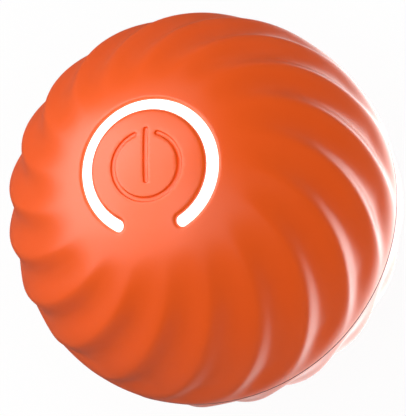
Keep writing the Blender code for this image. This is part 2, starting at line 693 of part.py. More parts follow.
def seal_ring():
    """The round-section seal in the spigot's groove."""
    radius = SPIGOT_OUTER_RADIUS - SEAL_GROOVE_DEPTH + FIT + SEAL_DIAMETER / 2
    profile = []
    for index in range(2 * END_STEPS):
        angle = math.tau * index / (2 * END_STEPS)
        across = SEAL_DIAMETER / 2 * math.cos(angle)
        profile.append((radius + across, SEAL_DIAMETER / 2 * math.sin(angle) - SEAL_DROP))
    return finish(turn("seal_ring", profile), SEAL_RUBBER)


def liner_boss(radius, low, frame):
    """A screw boss that grows from a liner's wall."""
    wall_middle = CAVITY_RADIUS + LINER_THICKNESS / 2
    boss = rod("boss", radius, low, LINER_OUTER_RADIUS, frame)
    steps = steps_for(math.pi, POLAR_STEP_ANGLE)
    profile = arc(wall_middle, 0.0, math.pi, steps)
    profile[0] = (0.0, wall_middle)
    profile[-1] = (0.0, -wall_middle)
    return keep(boss, turn("wall_tool", profile))


def rear_liner():
    """The rear hard shell, with bosses for the chassis and for the charging board."""
    steps = steps_for(math.pi / 2, POLAR_STEP_ANGLE)
    profile = arc(LINER_OUTER_RADIUS, math.pi, math.pi / 2, steps)
    profile += arc(CAVITY_RADIUS, math.pi / 2, math.pi, steps)
    profile[0] = (0.0, -LINER_OUTER_RADIUS)
    profile[steps] = (LINER_OUTER_RADIUS, -FIT / 2)
    profile[steps + 1] = (CAVITY_RADIUS, -FIT / 2)
    profile[-1] = (0.0, -CAVITY_RADIUS)
    liner = turn("rear_liner", profile)
    boss_top = TAB_DEPTH + TAB_THICKNESS + FIT
    bore = SCREW_RADIUS + FIT
    bore_depth = boss_top + CHASSIS_SCREW_LENGTH
    for x, y in chassis_screw_places():
        frame = moved(DOWNWARD, x, -y, 0.0)
        join(liner, liner_boss(SCREW_BOSS_RADIUS, boss_top, frame))
        cut(liner, rod("bore", bore, boss_top - OVERRUN, bore_depth, frame))
    for side in (1, -1):
        frame = moved(PORTWARD, 0.0, side * USB_SCREW_SPREAD, 0.0)
        join(liner, liner_boss(SCREW_HEAD_RADIUS + FIT, USB_BOARD_OUT + FIT, frame))
        depth = USB_BOARD_IN - FIT + USB_SCREW_LENGTH + FIT
        cut(liner, rod("bore", bore, USB_BOARD_OUT - OVERRUN, depth, frame))
    hole = stadium_outline(SOCKET_WIDTH + 2 * FIT, SOCKET_HEIGHT + 2 * FIT)
    cut(liner, prism("hole", hole, CAVITY_RADIUS - OVERRUN, LINER_OUTER_RADIUS + OVERRUN, PORTWARD))
    return finish(liner, HARD_PLASTIC)


def rear_skin():
    """The rear rubber half, with the charging port's recess and well."""
    skin = cut(skin_half("rear_skin", -1), ball_tool(BALL_RADIUS - SKIN_THICKNESS, DOWNWARD))
    recess = chord_outline(COVER_RADIUS + FIT, COVER_HINGE_HEIGHT + FIT)
    cut(skin, cap_piece("recess", recess, COVER_FLOOR_RADIUS, BALL_RADIUS + OVERRUN, PORTWARD))
    well = stadium_outline(WELL_WIDTH, WELL_HEIGHT)
    low = CAVITY_RADIUS - OVERRUN
    cut(skin, prism("well", well, low, BALL_RADIUS + OVERRUN, PORTWARD))
    return finish(skin, RUBBER)


def port_cover():
    """The rubber flap over the charging port, hinged along its straight upper edge."""
    outline = chord_outline(COVER_RADIUS, COVER_HINGE_HEIGHT)
    inner = BALL_RADIUS - COVER_THICKNESS
    cover = cap_piece("port_cover", outline, inner, BALL_RADIUS, PORTWARD)
    width = WELL_WIDTH - 2 * SPIGOT_PLUG_CLEARANCE
    height = WELL_HEIGHT - 2 * SPIGOT_PLUG_CLEARANCE
    plug = stadium_outline(width, height)
    bottom = height_at(inner, width / 2) - SPIGOT_PLUG_DEPTH
    join(cover, prism("plug", plug, bottom, inner + COVER_THICKNESS / 3, PORTWARD))
    return finish(cover, RUBBER, PORT_AXIS * COVER_AXIS_OUT + PORT_UP * COVER_AXIS_HEIGHT)


def chassis_screw_places():
    """The four chassis screws, at the corners of a rectangle."""
    places = []
    for x in (CHASSIS_SCREW_X, -CHASSIS_SCREW_X):
        for y in (CHASSIS_SCREW_Y, -CHASSIS_SCREW_Y):
            places.append((x, y))
    return places


def column_places():
    """The three columns that hold the frames apart, as (y, z)."""
    return [(-COLUMN_Y, COLUMN_Z), (-COLUMN_Y, -COLUMN_Z), (COLUMN_Y, -COLUMN_Z)]


def plate_outline():
    """A round plate with a straight neck that rises to the board."""
    half = NECK_WIDTH / 2
    start = math.pi - math.acos(half / FRAME_RADIUS)
    sweep = math.tau - 2 * (start - math.pi / 2)
    points = []
    for index in range(TURN_STEPS + 1):
        angle = start + sweep * index / TURN_STEPS
        points.append((FRAME_RADIUS * math.cos(angle), FRAME_RADIUS * math.sin(angle)))
    neck_top = BOARD_BOTTOM - FIT
    return points + [(half, neck_top), (-half, neck_top)]


def frame_plate(name, side):
    """A chassis plate with its tabs for the liner, the battery and the board."""
    frame = SIDEWAYS
    near = side * FRAME_X
    far = side * FRAME_OUTER_X
    low, high = min(near, far), max(near, far)
    plate = prism(name, plate_outline(), low, high, frame)
    neck_top = BOARD_BOTTOM - FIT
    reach = CHASSIS_SCREW_X - SCREW_BOSS_RADIUS
    inner, outer = sorted((side * reach, side * (FRAME_X + FRAME_THICKNESS / 2)))
    for y in (CHASSIS_SCREW_Y, -CHASSIS_SCREW_Y):
        first = (y - SCREW_BOSS_RADIUS, -TAB_DEPTH - TAB_THICKNESS, inner)
        last = (y + SCREW_BOSS_RADIUS, -TAB_DEPTH, outer)
        join(plate, block("tab", first, last, frame))
        hole = moved(UPRIGHT, side * CHASSIS_SCREW_X, y, 0.0)
        low_end = -TAB_DEPTH - TAB_THICKNESS - OVERRUN
        cut(plate, rod("hole", SCREW_RADIUS + FIT, low_end, -TAB_DEPTH + OVERRUN, hole))
    half_tab = BOARD_TAB_WIDTH / 2
    reach = BOARD_SCREW_X - SCREW_BOSS_RADIUS
    inner, outer = sorted((side * reach, side * (FRAME_X + FRAME_THICKNESS / 2)))
    first = (-half_tab, neck_top - TAB_THICKNESS, inner)
    join(plate, block("board_tab", first, (half_tab, neck_top, outer), frame))
    hole = moved(UPRIGHT, side * BOARD_SCREW_X, 0.0, 0.0)
    low_end = neck_top - TAB_THICKNESS - OVERRUN
    cut(plate, rod("hole", SCREW_RADIUS + FIT, low_end, neck_top + OVERRUN, hole))
    inner, outer = sorted((side * (FRAME_X - BATTERY_LEDGE_WIDTH), side * (FRAME_X + FRAME_THICKNESS / 2)))
    half_ledge = BATTERY_LEDGE_LENGTH / 2
    above = -BATTERY_DEPTH + FIT
    below = -BATTERY_DEPTH - BATTERY_HEIGHT - FIT - BATTERY_LEDGE_THICKNESS
    for z in (above, below):
        last = (half_ledge, z + BATTERY_LEDGE_THICKNESS, outer)
        join(plate, block("ledge", (-half_ledge, z, inner), last, frame))
    return plate


def left_frame():
    """The frame that carries the motor's cradle, the columns and the gear pins' bosses."""
    plate = frame_plate("left_frame", -1)
    root = -FRAME_X - FRAME_THICKNESS / 2
    for y, z in column_places():
        join(plate, rod("column", COLUMN_RADIUS, root, FRAME_X - FIT, SIDEWAYS, (y, z)))
        low = FRAME_OUTER_X - FRAME_SCREW_LENGTH
        cut(plate, rod("bore", SCREW_RADIUS + FIT, low, FRAME_X + OVERRUN, SIDEWAYS, (y, z)))
    for centre in ((GEAR_A_Y, GEAR_A_Z), (GEAR_B_Y, GEAR_B_Z)):
        join(plate, rod("pin_boss", PIN_BOSS_RADIUS, root, LAYER_1 - FIT, SIDEWAYS, centre))
    half_width = MOTOR_FLAT_WIDTH / 2 + FIT
    floor = MOTOR_Z - MOTOR_DIAMETER / 2 - FIT
    rim = MOTOR_Z + MOTOR_DIAMETER / 4
    end = MOTOR_REAR_X + MOTOR_CAP_LENGTH + MOTOR_CAN_LENGTH / 2
    outer = half_width + CRADLE_WALL
    first = (MOTOR_Y - outer, floor - CRADLE_WALL, root)
    join(plate, block("cradle", first, (MOTOR_Y + outer, rim, end), SIDEWAYS))
    first = (MOTOR_Y - half_width, floor, -FRAME_X)
    cut(plate, block("pocket", first, (MOTOR_Y + half_width, rim + OVERRUN, end + OVERRUN), SIDEWAYS))
    drill_frame(plate, -1)
    return finish(plate, FRAME_PLASTIC)


def right_frame():
    """The frame that closes the chassis over the gears."""
    plate = frame_plate("right_frame", 1)
    for centre in column_places():
        low = FRAME_X - OVERRUN
        high = FRAME_OUTER_X + OVERRUN
        cut(plate, rod("hole", SCREW_RADIUS + FIT, low, high, SIDEWAYS, centre))
    drill_frame(plate, 1)
    return finish(plate, FRAME_PLASTIC)


def drill_frame(plate, side):
    """Holes for a bush and for the ends of the gear pins."""
    near, far = sorted((side * (FRAME_X - OVERRUN), side * (FRAME_OUTER_X + OVERRUN)))
    cut(plate, rod("bush_hole", BUSH_RADIUS + FIT, near, far, SIDEWAYS))
    near, far = sorted((side * (FRAME_X - OVERRUN), side * PIN_HOLE_END))
    if side < 0:
        far = LAYER_1
    for centre in ((GEAR_A_Y, GEAR_A_Z), (GEAR_B_Y, GEAR_B_Z)):
        cut(plate, rod("pin_hole", PIN_RADIUS + FIT, near, far, SIDEWAYS, centre))


def gear(name, teeth, low, high, centre, tooth_angle):
    """A spur gear with involute teeth, one of them centred on the given angle."""
    pitch = GEAR_MODULE * teeth / 2
    base = pitch * math.cos(PRESSURE_ANGLE)
    tip = pitch + GEAR_MODULE
    root = pitch - GEAR_MODULE - GEAR_ROOT_CLEARANCE
    radii = [root, tip] if root > base else [root, base, pitch, tip]
    half_at_pitch = math.pi / (2 * teeth) - GEAR_BACKLASH / (4 * pitch)
    rolled = math.tan(PRESSURE_ANGLE) - PRESSURE_ANGLE
    flank = []
    for radius in radii:
        pressure = math.acos(min(base / radius, 1.0))
        flank.append((radius, half_at_pitch + rolled - math.tan(pressure) + pressure))
    outline = []
    for tooth in range(teeth):
        middle = tooth_angle + math.tau * tooth / teeth
        sides = [(radius, middle - half) for radius, half in flank]
        sides += [(radius, middle + half) for radius, half in reversed(flank)]
        for radius, angle in sides:
            y = centre[0] + radius * math.cos(angle)
            outline.append((y, centre[1] + radius * math.sin(angle)))
    return prism(name, outline, low, high, SIDEWAYS)


def gap_angle(teeth, angle):
    """Where a tooth is centred when a gap between teeth faces the given angle."""
    return angle + math.pi / teeth


def middle_gear(name, wheel_x, first_x, centre, wheel_gap, pinion_tooth):
    """A wheel and a pinion in one, with hubs that reach the frames' bosses."""
    pinion_x = wheel_x + GEAR_WIDTH
    wheel = gear(name, WHEEL_TEETH, wheel_x, pinion_x, centre, gap_angle(WHEEL_TEETH, wheel_gap))
    pinion_low = wheel_x + GEAR_WIDTH / 2
    pinion_high = pinion_x + GEAR_SPACING + GEAR_WIDTH
    pinion = gear("pinion", PINION_TEETH, pinion_low, pinion_high, centre, pinion_tooth)
    hub = rod("hub", HUB_RADIUS, first_x, FRAME_X - FIT, SIDEWAYS, centre)
    join(wheel, pinion, hub)
    bore = rod("bore", PIN_RADIUS + FIT, first_x - OVERRUN, FRAME_X + OVERRUN, SIDEWAYS, centre)
    return finish(cut(wheel, bore), GEAR_PLASTIC, (0.0, *centre))


def gear_pin(name, centre):
    """A steel pin held in both frames."""
    end = PIN_HOLE_END - FIT
    return finish(rod(name, PIN_RADIUS, -end, end, SIDEWAYS, centre), STEEL)


def shaft_outline(clearance):
    """The D-shaped section of the output shaft, or of the bores that fit it."""
    radius = SHAFT_RADIUS + clearance
    return chord_outline(radius, SHAFT_RADIUS - SHAFT_FLAT + clearance, SMALL_STEPS)


def output_shaft():
    """The steel shaft across the ball, bored at both ends for the weights' screws."""
    end = WEIGHT_END_X - FIT
    shaft = prism("output_shaft", shaft_outline(0.0), -end, end, SIDEWAYS)
    depth = WEIGHT_SCREW_LENGTH + FIT
    for frame in (SIDEWAYS, LEFTWARD):
        cut(shaft, rod("bore", WEIGHT_SCREW_RADIUS + FIT, end - depth, end + OVERRUN, frame))
    return finish(shaft, STEEL)


def output_gear():
    """The last wheel, fixed on the output shaft."""
    tooth = gap_angle(WHEEL_TEETH, GEAR_B_ANGLE)
    high = LAYER_3 + GEAR_WIDTH
    wheel = gear("output_gear", WHEEL_TEETH, LAYER_3, high, (0.0, 0.0), tooth)
    cut(wheel, prism("bore", shaft_outline(FIT), LAYER_3 - OVERRUN, high + OVERRUN, SIDEWAYS))
    return finish(wheel, GEAR_PLASTIC)


def bush(name, frame):
    """A flanged bronze bush for the output shaft."""
    bore = SHAFT_RADIUS + FIT
    flange = BUSH_RADIUS + BUSH_FLANGE_WIDTH
    seat = FRAME_OUTER_X + FIT
    profile = [
        (bore, FRAME_X),
        (BUSH_RADIUS, FRAME_X),
        (BUSH_RADIUS, seat),
        (flange, seat),
        (flange, seat + BUSH_FLANGE_THICKNESS),
        (bore, seat + BUSH_FLANGE_THICKNESS),
    ]
    return finish(turn(name, profile, frame, SMALL_STEPS), BRONZE)


def weight(name, side):
    """A heavy sector that hangs from the shaft, with a round hub."""
    down = -math.pi / 2
    outline = []
    for index in range(ARC_STEPS + 1):
        angle = down + WEIGHT_HALF_ANGLE * (2 * index / ARC_STEPS - 1)
        outline.append((WEIGHT_RADIUS * math.cos(angle), WEIGHT_RADIUS * math.sin(angle)))
    for index in range(SMALL_STEPS + 1):
        angle = down + WEIGHT_HALF_ANGLE + (math.tau - 2 * WEIGHT_HALF_ANGLE) * index / SMALL_STEPS
        outline.append((WEIGHT_HUB_RADIUS * math.cos(angle), WEIGHT_HUB_RADIUS * math.sin(angle)))
    low, high = sorted((side * WEIGHT_X, side * WEIGHT_END_X))
    body = prism(name, outline, low, high, SIDEWAYS)
    cut(body, prism("bore", shaft_outline(FIT), low - OVERRUN, high + OVERRUN, SIDEWAYS))
    return finish(body, WEIGHT_STEEL)


def flat_sided_outline(radius, width):
    """A circle with two flat sides, round the motor's axis."""
    limit = math.acos(width / 2 / radius)
    points = []
    for side in (1, -1):
        for index in range(SMALL_STEPS // 2 + 1):
            angle = limit + (math.pi - 2 * limit) * index / (SMALL_STEPS // 2)
            x = side * radius * math.cos(angle)
            points.append((MOTOR_Y + x, MOTOR_Z + side * radius * math.sin(angle)))
    return points


def motor():
    """The small flat-sided motor with its end cap, shaft and pinion."""
    can_x = MOTOR_FRONT_X - MOTOR_CAN_LENGTH
    centre = (MOTOR_Y, MOTOR_Z)
    outline = flat_sided_outline(MOTOR_DIAMETER / 2, MOTOR_FLAT_WIDTH)
    can = prism("motor_can", outline, can_x, MOTOR_FRONT_X, SIDEWAYS)
    boss_end = MOTOR_FRONT_X + MOTOR_BOSS_LENGTH
    join(can, rod("boss", MOTOR_BOSS_RADIUS, MOTOR_FRONT_X - MOTOR_SHAFT_SEAT, boss_end, SIDEWAYS, centre))
    bore = MOTOR_SHAFT_RADIUS + FIT
    seat = MOTOR_FRONT_X - MOTOR_SHAFT_SEAT
    cut(can, rod("bore", bore, seat - FIT, boss_end + OVERRUN, SIDEWAYS, centre))
    finish(can, STEEL)
    outline = flat_sided_outline(MOTOR_DIAMETER / 2 - FIT, MOTOR_FLAT_WIDTH - 2 * FIT)
    cap_end = MOTOR_REAR_X + MOTOR_CAP_LENGTH
    finish(prism("motor_end_cap", outline, MOTOR_REAR_X, cap_end, SIDEWAYS), FRAME_PLASTIC)
    shaft_end = LAYER_1 + GEAR_WIDTH + FIT
    shaft = rod("motor_shaft", MOTOR_SHAFT_RADIUS, seat, shaft_end, SIDEWAYS, centre)
    finish(shaft, STEEL, (0.0, *centre))
    tooth = MOTOR_ANGLE + math.pi
    pinion = gear("motor_pinion", PINION_TEETH, LAYER_1, LAYER_1 + GEAR_WIDTH, centre, tooth)
    cut(pinion, rod("bore", bore, LAYER_1 - OVERRUN, shaft_end + OVERRUN, SIDEWAYS, centre))
    finish(pinion, BRONZE, (0.0, *centre))


def battery_cell():
    """The flat cell under the shaft, with rounded edges."""
    half_width = BATTERY_WIDTH / 2
    half_length = BATTERY_LENGTH / 2
    low = (-half_width, -half_length, -BATTERY_DEPTH - BATTERY_HEIGHT)
    cell = block("battery_cell", low, (half_width, half_length, -BATTERY_DEPTH))
    bevel = cell.modifiers.new("edges", "BEVEL")
    bevel.width = BATTERY_EDGE
    bevel.segments = 2
    return finish(cell, CELL_FOIL)


def main_board():
    """The round board under the light ring, drilled for its two screws."""
    board = rod("main_board", BOARD_RADIUS, BOARD_BOTTOM, BOARD_TOP, steps=TURN_STEPS)
    low = BOARD_BOTTOM - OVERRUN
    for x in (BOARD_SCREW_X, -BOARD_SCREW_X):
        cut(board, rod("hole", SCREW_RADIUS + FIT, low, BOARD_TOP + OVERRUN, centre=(x, 0.0)))
    return finish(board, BOARD_GREEN)


def leds():
    """The lamps that shine up into the light ring."""
    near = BOARD_TOP + FIT
    lit = math.tau - 2 * LIGHT_GAP_ANGLE
    for index in range(LED_COUNT):
        azimuth = LIGHT_GAP_ANGLE + lit * (index + 1 / 2) / LED_COUNT
        frame = Matrix.Rotation(azimuth, 4, "Z")
        low = (-LED_LENGTH / 2, -LED_CIRCLE - LED_WIDTH / 2, near)
        high = (LED_LENGTH / 2, -LED_CIRCLE + LED_WIDTH / 2, near + LED_HEIGHT)
        finish(block(f"led_{index + 1}", low, high, frame), LED_YELLOW)


def board_part(name, width, height, direction, look):
    """A square chip beside the switch."""
    first = direction * (SWITCH_WIDTH / 2 + PART_SPACING)
    low_y, high_y = sorted((first, first + direction * width))
    near = BOARD_TOP + FIT
    low = (-width / 2, low_y, near)
    return finish(block(name, low, (width / 2, high_y, near + height)), look)


def switch():
    """The push switch under the button's post, with its plunger."""
    half = SWITCH_WIDTH / 2
    body = block("switch_body", (-half, -half, BOARD_TOP + FIT), (half, half, SWITCH_TOP))
    floor = SWITCH_TOP - SWITCH_BORE_DEPTH
    cut(body, rod("bore", PLUNGER_RADIUS + FIT, floor, SWITCH_TOP + OVERRUN))
    finish(body, CHIP_BLACK)
    plunger = rod("switch_plunger", PLUNGER_RADIUS, PLUNGER_BOTTOM, PLUNGER_TOP)
    finish(plunger, FRAME_PLASTIC, (0.0, 0.0, PLUNGER_TOP))


def charging_socket():
    """The charging socket on its small board behind the rear liner's opening."""
    half_width = USB_BOARD_WIDTH / 2
    half_length = USB_BOARD_LENGTH / 2
    low = (-half_width, -half_length, USB_BOARD_IN)
    board = block("usb_board", low, (half_width, half_length, USB_BOARD_OUT), PORTWARD)
    for side in (1, -1):
        centre = (0.0, side * USB_SCREW_SPREAD)
        bottom = USB_BOARD_IN - OVERRUN
        hole = rod("hole", SCREW_RADIUS + FIT, bottom, USB_BOARD_OUT + OVERRUN, PORTWARD, centre)
        cut(board, hole)
    finish(board, BOARD_GREEN)
    foot = USB_BOARD_OUT + FIT
    back = foot + SOCKET_BACK
    outline = stadium_outline(SOCKET_WIDTH, SOCKET_HEIGHT)
    shell = prism("usb_receptacle", outline, foot, SOCKET_MOUTH, PORTWARD)
    outline = stadium_outline(SOCKET_WIDTH - 2 * SOCKET_WALL, SOCKET_HEIGHT - 2 * SOCKET_WALL)
    cut(shell, prism("mouth", outline, back, SOCKET_MOUTH + OVERRUN, PORTWARD))
    half_width = SOCKET_TONGUE_WIDTH / 2
    half_height = SOCKET_TONGUE_THICKNESS / 2
    low = (-half_width, -half_height, foot + SOCKET_BACK / 2)
    high = (half_width, half_height, back + SOCKET_TONGUE_LENGTH)
    join(shell, block("tongue", low, high, PORTWARD))
    finish(shell, STEEL)


def screws():
    """All the fasteners, each in the hole it holds."""
    head_z = -TAB_DEPTH + FIT
    for index, (x, y) in enumerate(chassis_screw_places()):
        screw(f"chassis_screw_{index + 1}", CHASSIS_SCREW_LENGTH, moved(UPRIGHT, x, y, head_z))
    for index, (y, z) in enumerate(column_places()):
        frame = moved(SIDEWAYS, y, z, FRAME_OUTER_X + FIT)
        screw(f"frame_screw_{index + 1}", FRAME_SCREW_LENGTH, frame)
    for index, x in enumerate((BOARD_SCREW_X, -BOARD_SCREW_X)):
        frame = moved(UPRIGHT, x, 0.0, BOARD_TOP + FIT)
        screw(f"board_screw_{index + 1}", BOARD_SCREW_LENGTH, frame)
    for index, side in enumerate((1, -1)):
        frame = moved(PORTWARD, 0.0, side * USB_SCREW_SPREAD, USB_BOARD_IN - FIT)
        screw(f"usb_screw_{index + 1}", USB_SCREW_LENGTH, frame @ DOWNWARD)
    for name, frame in (("right_weight_screw", SIDEWAYS), ("left_weight_screw", LEFTWARD)):
        frame = moved(frame, 0.0, 0.0, WEIGHT_END_X + FIT)
        screw(name, WEIGHT_SCREW_LENGTH, frame, WEIGHT_HEAD_RADIUS, WEIGHT_SCREW_RADIUS)


def smooth_route(route):
    """Points on a smooth curve through the points of a route."""
    points = []
    last = len(route) - 1
    for index in range(last):
        before = route[max(index - 1, 0)]
        start = route[index]
        end = route[index + 1]
        after = route[min(index + 2, last)]
        for step in range(LEAD_STEPS):
            share = step / LEAD_STEPS
            leave = (end - before) / 2
            arrive = (after - start) / 2
            rest = 1 - share
            point = start * (rest * rest * (1 + 2 * share)) + end * (share * share * (3 - 2 * share))
            point += leave * (rest * rest * share) - arrive * (share * share * rest)
            points.append(point)
    points.append(route[last])
    return points


def lead(name, route, look):
    """An insulated wire along a route."""
    curve = bpy.data.curves.new(name, "CURVE")
    curve.dimensions = "3D"
    curve.bevel_depth = LEAD_RADIUS
    curve.bevel_resolution = 2
    curve.use_fill_caps = True
    points = smooth_route(route)
    spline = curve.splines.new("POLY")
    spline.points.add(len(points) - 1)
    for spot, point in zip(spline.points, points):
        spot.co = (*point, 1.0)
    item = bpy.data.objects.new(name, curve)
    bpy.context.collection.objects.link(item)
    paint(item, look)


def on_ring(x, angle):
    """A point on the circle round the frames, where the wires run clear of the columns."""
    radius = FRAME_RADIUS + 2 * LEAD_RADIUS
    return Vector((x, radius * math.cos(angle), radius * math.sin(angle)))


def leads():
    """The wires of the cell, the motor and the charging socket, all to the main board."""
    board_y = BOARD_RADIUS / 2
    board_end = BOARD_BOTTOM - FIT
    board_near = board_end - LEAD_SPACING
    cell_z = -BATTERY_DEPTH - BATTERY_HEIGHT / 2
    cell_y = -BATTERY_LENGTH / 2 - FIT
    for index, (side, look) in enumerate(((1, LEAD_RED), (-1, LEAD_BLACK))):
        x = side * LEAD_SPACING / 2
        route = [Vector((x, cell_y, cell_z)), Vector((x, -COLUMN_Y, cell_z))]
        for angle in CELL_LEAD_ANGLES:
            route.append(on_ring(x, angle))
        route += [Vector((x, -board_y, board_near)), Vector((x, -board_y, board_end))]
        lead(f"battery_lead_{index + 1}", route, look)
        start = PORT_UP * LEAD_SPACING / 2 + Vector((x, 0.0, 0.0))
        start += PORT_AXIS * (USB_BOARD_IN - FIT)
        route = [start, start - PORT_AXIS * LEAD_SPACING]
        for angle in SOCKET_LEAD_ANGLES:
            route.append(on_ring(x, angle))
        route += [Vector((x, board_y, board_near)), Vector((x, board_y, board_end))]
        lead(f"usb_lead_{index + 1}", route, look)
        x = MOTOR_REAR_X + MOTOR_CAP_LENGTH / 2
        y = MOTOR_Y + side * LEAD_SPACING / 2
        low = MOTOR_Z + MOTOR_DIAMETER / 2
        middle = Vector((x + 2 * LEAD_RADIUS, y, (low + board_end) / 2))
        route = [Vector((x, y, low)), middle, Vector((x, y, board_end))]
        lead(f"motor_lead_{index + 1}", route, look)


def build():
    clear_scene()
    front_skin()
    rear_skin()
    power_button()
    light_ring()
    front_liner()
    rear_liner()
    seal_ring()
    port_cover()
    left_frame()
    right_frame()
    motor()
    a_centre = (GEAR_A_Y, GEAR_A_Z)
    b_centre = (GEAR_B_Y, GEAR_B_Z)
    middle_gear("gear_a", LAYER_1, LAYER_1, a_centre, MOTOR_ANGLE, GEAR_A_ANGLE + math.pi)
    middle_gear("gear_b", LAYER_2, LAYER_1, b_centre, GEAR_A_ANGLE, GEAR_B_ANGLE + math.pi)
    gear_pin("gear_pin_a", a_centre)
    gear_pin("gear_pin_b", b_centre)
    output_shaft()
    output_gear()
    bush("right_bush", SIDEWAYS)
    bush("left_bush", LEFTWARD)
    weight("right_weight", 1)
    weight("left_weight", -1)
    battery_cell()
    main_board()
    leds()
    board_part("control_chip", CHIP_WIDTH, CHIP_HEIGHT, 1, CHIP_BLACK)
    board_part("motion_sensor", SENSOR_WIDTH, SENSOR_HEIGHT, -1, CHIP_BLACK)
    switch()
    charging_socket()
    screws()
    leads()


build()
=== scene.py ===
# %% [markdown]
# # A bouncing dog ball, dressed for its picture
#
# The ball is two moulded rubber halves over hard liners. Eighteen ridges twist from a smooth cap
# round the power button to the seam and on to the other side. A C of lit plastic runs round the
# button, and a small rubber flap closes the charging port at the back. The working solids come
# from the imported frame. This script adds the fine skins, the finishes, the light and the camera.

# %% Load the frame
import json
import math

import bmesh
import bpy
import numpy as np
from mathutils import Matrix, Vector, kdtree
from mathutils.geometry import delaunay_2d_cdt


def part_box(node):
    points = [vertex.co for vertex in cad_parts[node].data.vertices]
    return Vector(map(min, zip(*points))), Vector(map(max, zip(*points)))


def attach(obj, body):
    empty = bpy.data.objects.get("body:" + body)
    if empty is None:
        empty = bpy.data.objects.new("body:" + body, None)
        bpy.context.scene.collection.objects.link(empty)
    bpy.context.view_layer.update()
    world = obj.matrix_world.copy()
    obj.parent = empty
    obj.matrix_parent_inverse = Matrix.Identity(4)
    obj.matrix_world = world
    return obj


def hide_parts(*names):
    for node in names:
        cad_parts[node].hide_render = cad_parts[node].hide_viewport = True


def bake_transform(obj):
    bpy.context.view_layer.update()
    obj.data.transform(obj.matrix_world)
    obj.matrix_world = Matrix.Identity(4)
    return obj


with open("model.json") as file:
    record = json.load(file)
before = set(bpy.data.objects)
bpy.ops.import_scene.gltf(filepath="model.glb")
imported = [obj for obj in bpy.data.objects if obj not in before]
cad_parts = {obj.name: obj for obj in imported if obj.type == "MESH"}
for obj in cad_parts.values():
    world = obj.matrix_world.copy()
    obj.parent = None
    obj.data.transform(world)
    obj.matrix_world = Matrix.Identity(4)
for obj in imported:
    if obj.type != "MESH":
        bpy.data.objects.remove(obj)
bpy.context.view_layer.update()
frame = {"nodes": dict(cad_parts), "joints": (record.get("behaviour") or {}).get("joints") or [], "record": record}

NODES = frame["nodes"]
JOINTS = {joint["name"]: joint for joint in frame["joints"]}

# %% [markdown]
# ## Sizes that the whole ball shares
#
# Every length is in metres. A size could be typed wherever it is used, but then a change would have
# to be made in many places, so each has a name. What the frame knows is read from it: the ball's
# radius is the depth of the rear skin, and the light's radius is how far the button's hinge lies
# off the axis. Sizes of one detail stand in the cell that first needs them.

# %% Shared sizes
MM = 0.001
BALL_RADIUS = -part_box("rear_skin")[0][2]
SKIN_THICKNESS = 3.5 * MM
SKIN_INSIDE = BALL_RADIUS - SKIN_THICKNESS
HINGE = JOINTS["button_tilt"]["pos_m"]
LIGHT_RADIUS = -HINGE[1]
POLE = Vector((0.0, 0.0, 1.0))
print("ball radius", round(BALL_RADIUS / MM, 3), "mm")
print("light radius", round(LIGHT_RADIUS / MM, 3), "mm")

# %% [markdown]
# ## The charging port's place
#
# The real port is a small round opening low on the rear half. Its place could be given by three
# coordinates and a rotation. One angle off the pole is enough here, because the port lies on the
# side opposite the button's hinge. Three directions follow: out of the port, up and sideways.

# %% Directions at the port
PORT_ANGLE = math.radians(120.0)
PORT_AXIS = Vector((0.0, math.sin(PORT_ANGLE), math.cos(PORT_ANGLE)))
PORT_UP = Vector((0.0, -math.cos(PORT_ANGLE), math.sin(PORT_ANGLE)))
PORT_SIDE = PORT_UP.cross(PORT_AXIS)
print("port faces", [round(value, 3) for value in PORT_AXIS])

# %% [markdown]
# ## The ridged surface as a formula
#
# The skin is a ball whose radius drops a little between the ridges. Where a point lies between two
# valleys is its azimuth less the valley's azimuth, which turns with the height: that is the twist.
# Two powers make the drop a soft wave, broad at the crests and a little tighter in the valleys, and
# its rise is longer than its fall, as the bright bands of the picture show. The drop fades to
# nothing towards both caps and round the charging port. Next to the seam the ridges run out into
# a plain rim, so the seam is a true circle. The ridges could be sculpted, or raised from a smooth
# ball by a displacement. A formula keeps the front half, the rear half and the button on one
# surface, so no step shows where they meet.

# %% The drop under the full ball
RIDGE_COUNT = 18
RIDGE_DEPTH = 1.4 * MM
RIDGE_START = math.radians(11.7)
RIDGE_TWIST = math.radians(50.0)
RIDGE_FADE_FROM = math.radians(25.0)
RIDGE_FADE_TO = math.radians(56.0)
RISE_SHARE = 0.56
CREST_POWER = 1.65
VALLEY_POWER = 2.35
RIM_DROP = 0.12 * MM
RIM_REACH = 10.0 * MM
PORT_PAD = 9.0 * MM
PORT_FADE = 6.0 * MM


def smooth_step(value, low, high):
    """Rises smoothly from 0 at low to 1 at high."""
    share = min(max((value - low) / (high - low), 0.0), 1.0)
    return share * share * (3 - 2 * share)


def valley(polar):
    """The azimuth of the first valley at an angle from the pole."""
    return RIDGE_START + RIDGE_TWIST * math.cos(polar)


def drop(direction):
    """How far the skin lies under the full ball in a direction."""
    polar = direction.angle(POLE)
    off_pole = min(polar, math.pi - polar)
    relief = smooth_step(off_pole, RIDGE_FADE_FROM, RIDGE_FADE_TO)
    off_port = direction.angle(PORT_AXIS) * BALL_RADIUS
    relief *= smooth_step(off_port, PORT_PAD, PORT_PAD + PORT_FADE)
    if relief == 0:
        return 0.0
    azimuth = math.atan2(direction.x, -direction.y)
    turns = (azimuth - valley(polar)) * RIDGE_COUNT / math.tau
    place = turns - math.floor(turns)
    off_crest = 1 - min(place / RISE_SHARE, (1 - place) / (1 - RISE_SHARE))
    wave = RIDGE_DEPTH * (1 - (1 - off_crest ** CREST_POWER) ** VALLEY_POWER)
    off_seam = smooth_step(math.pi / 2 - off_pole, 0.0, RIM_REACH / BALL_RADIUS)
    return relief * (RIM_DROP + (wave - RIM_DROP) * off_seam)


# %% Points of the ridged surface
def around(radius, azimuth):
    """A point on a circle, with its azimuth measured from -Y."""
    return radius * math.sin(azimuth), -radius * math.cos(azimuth)


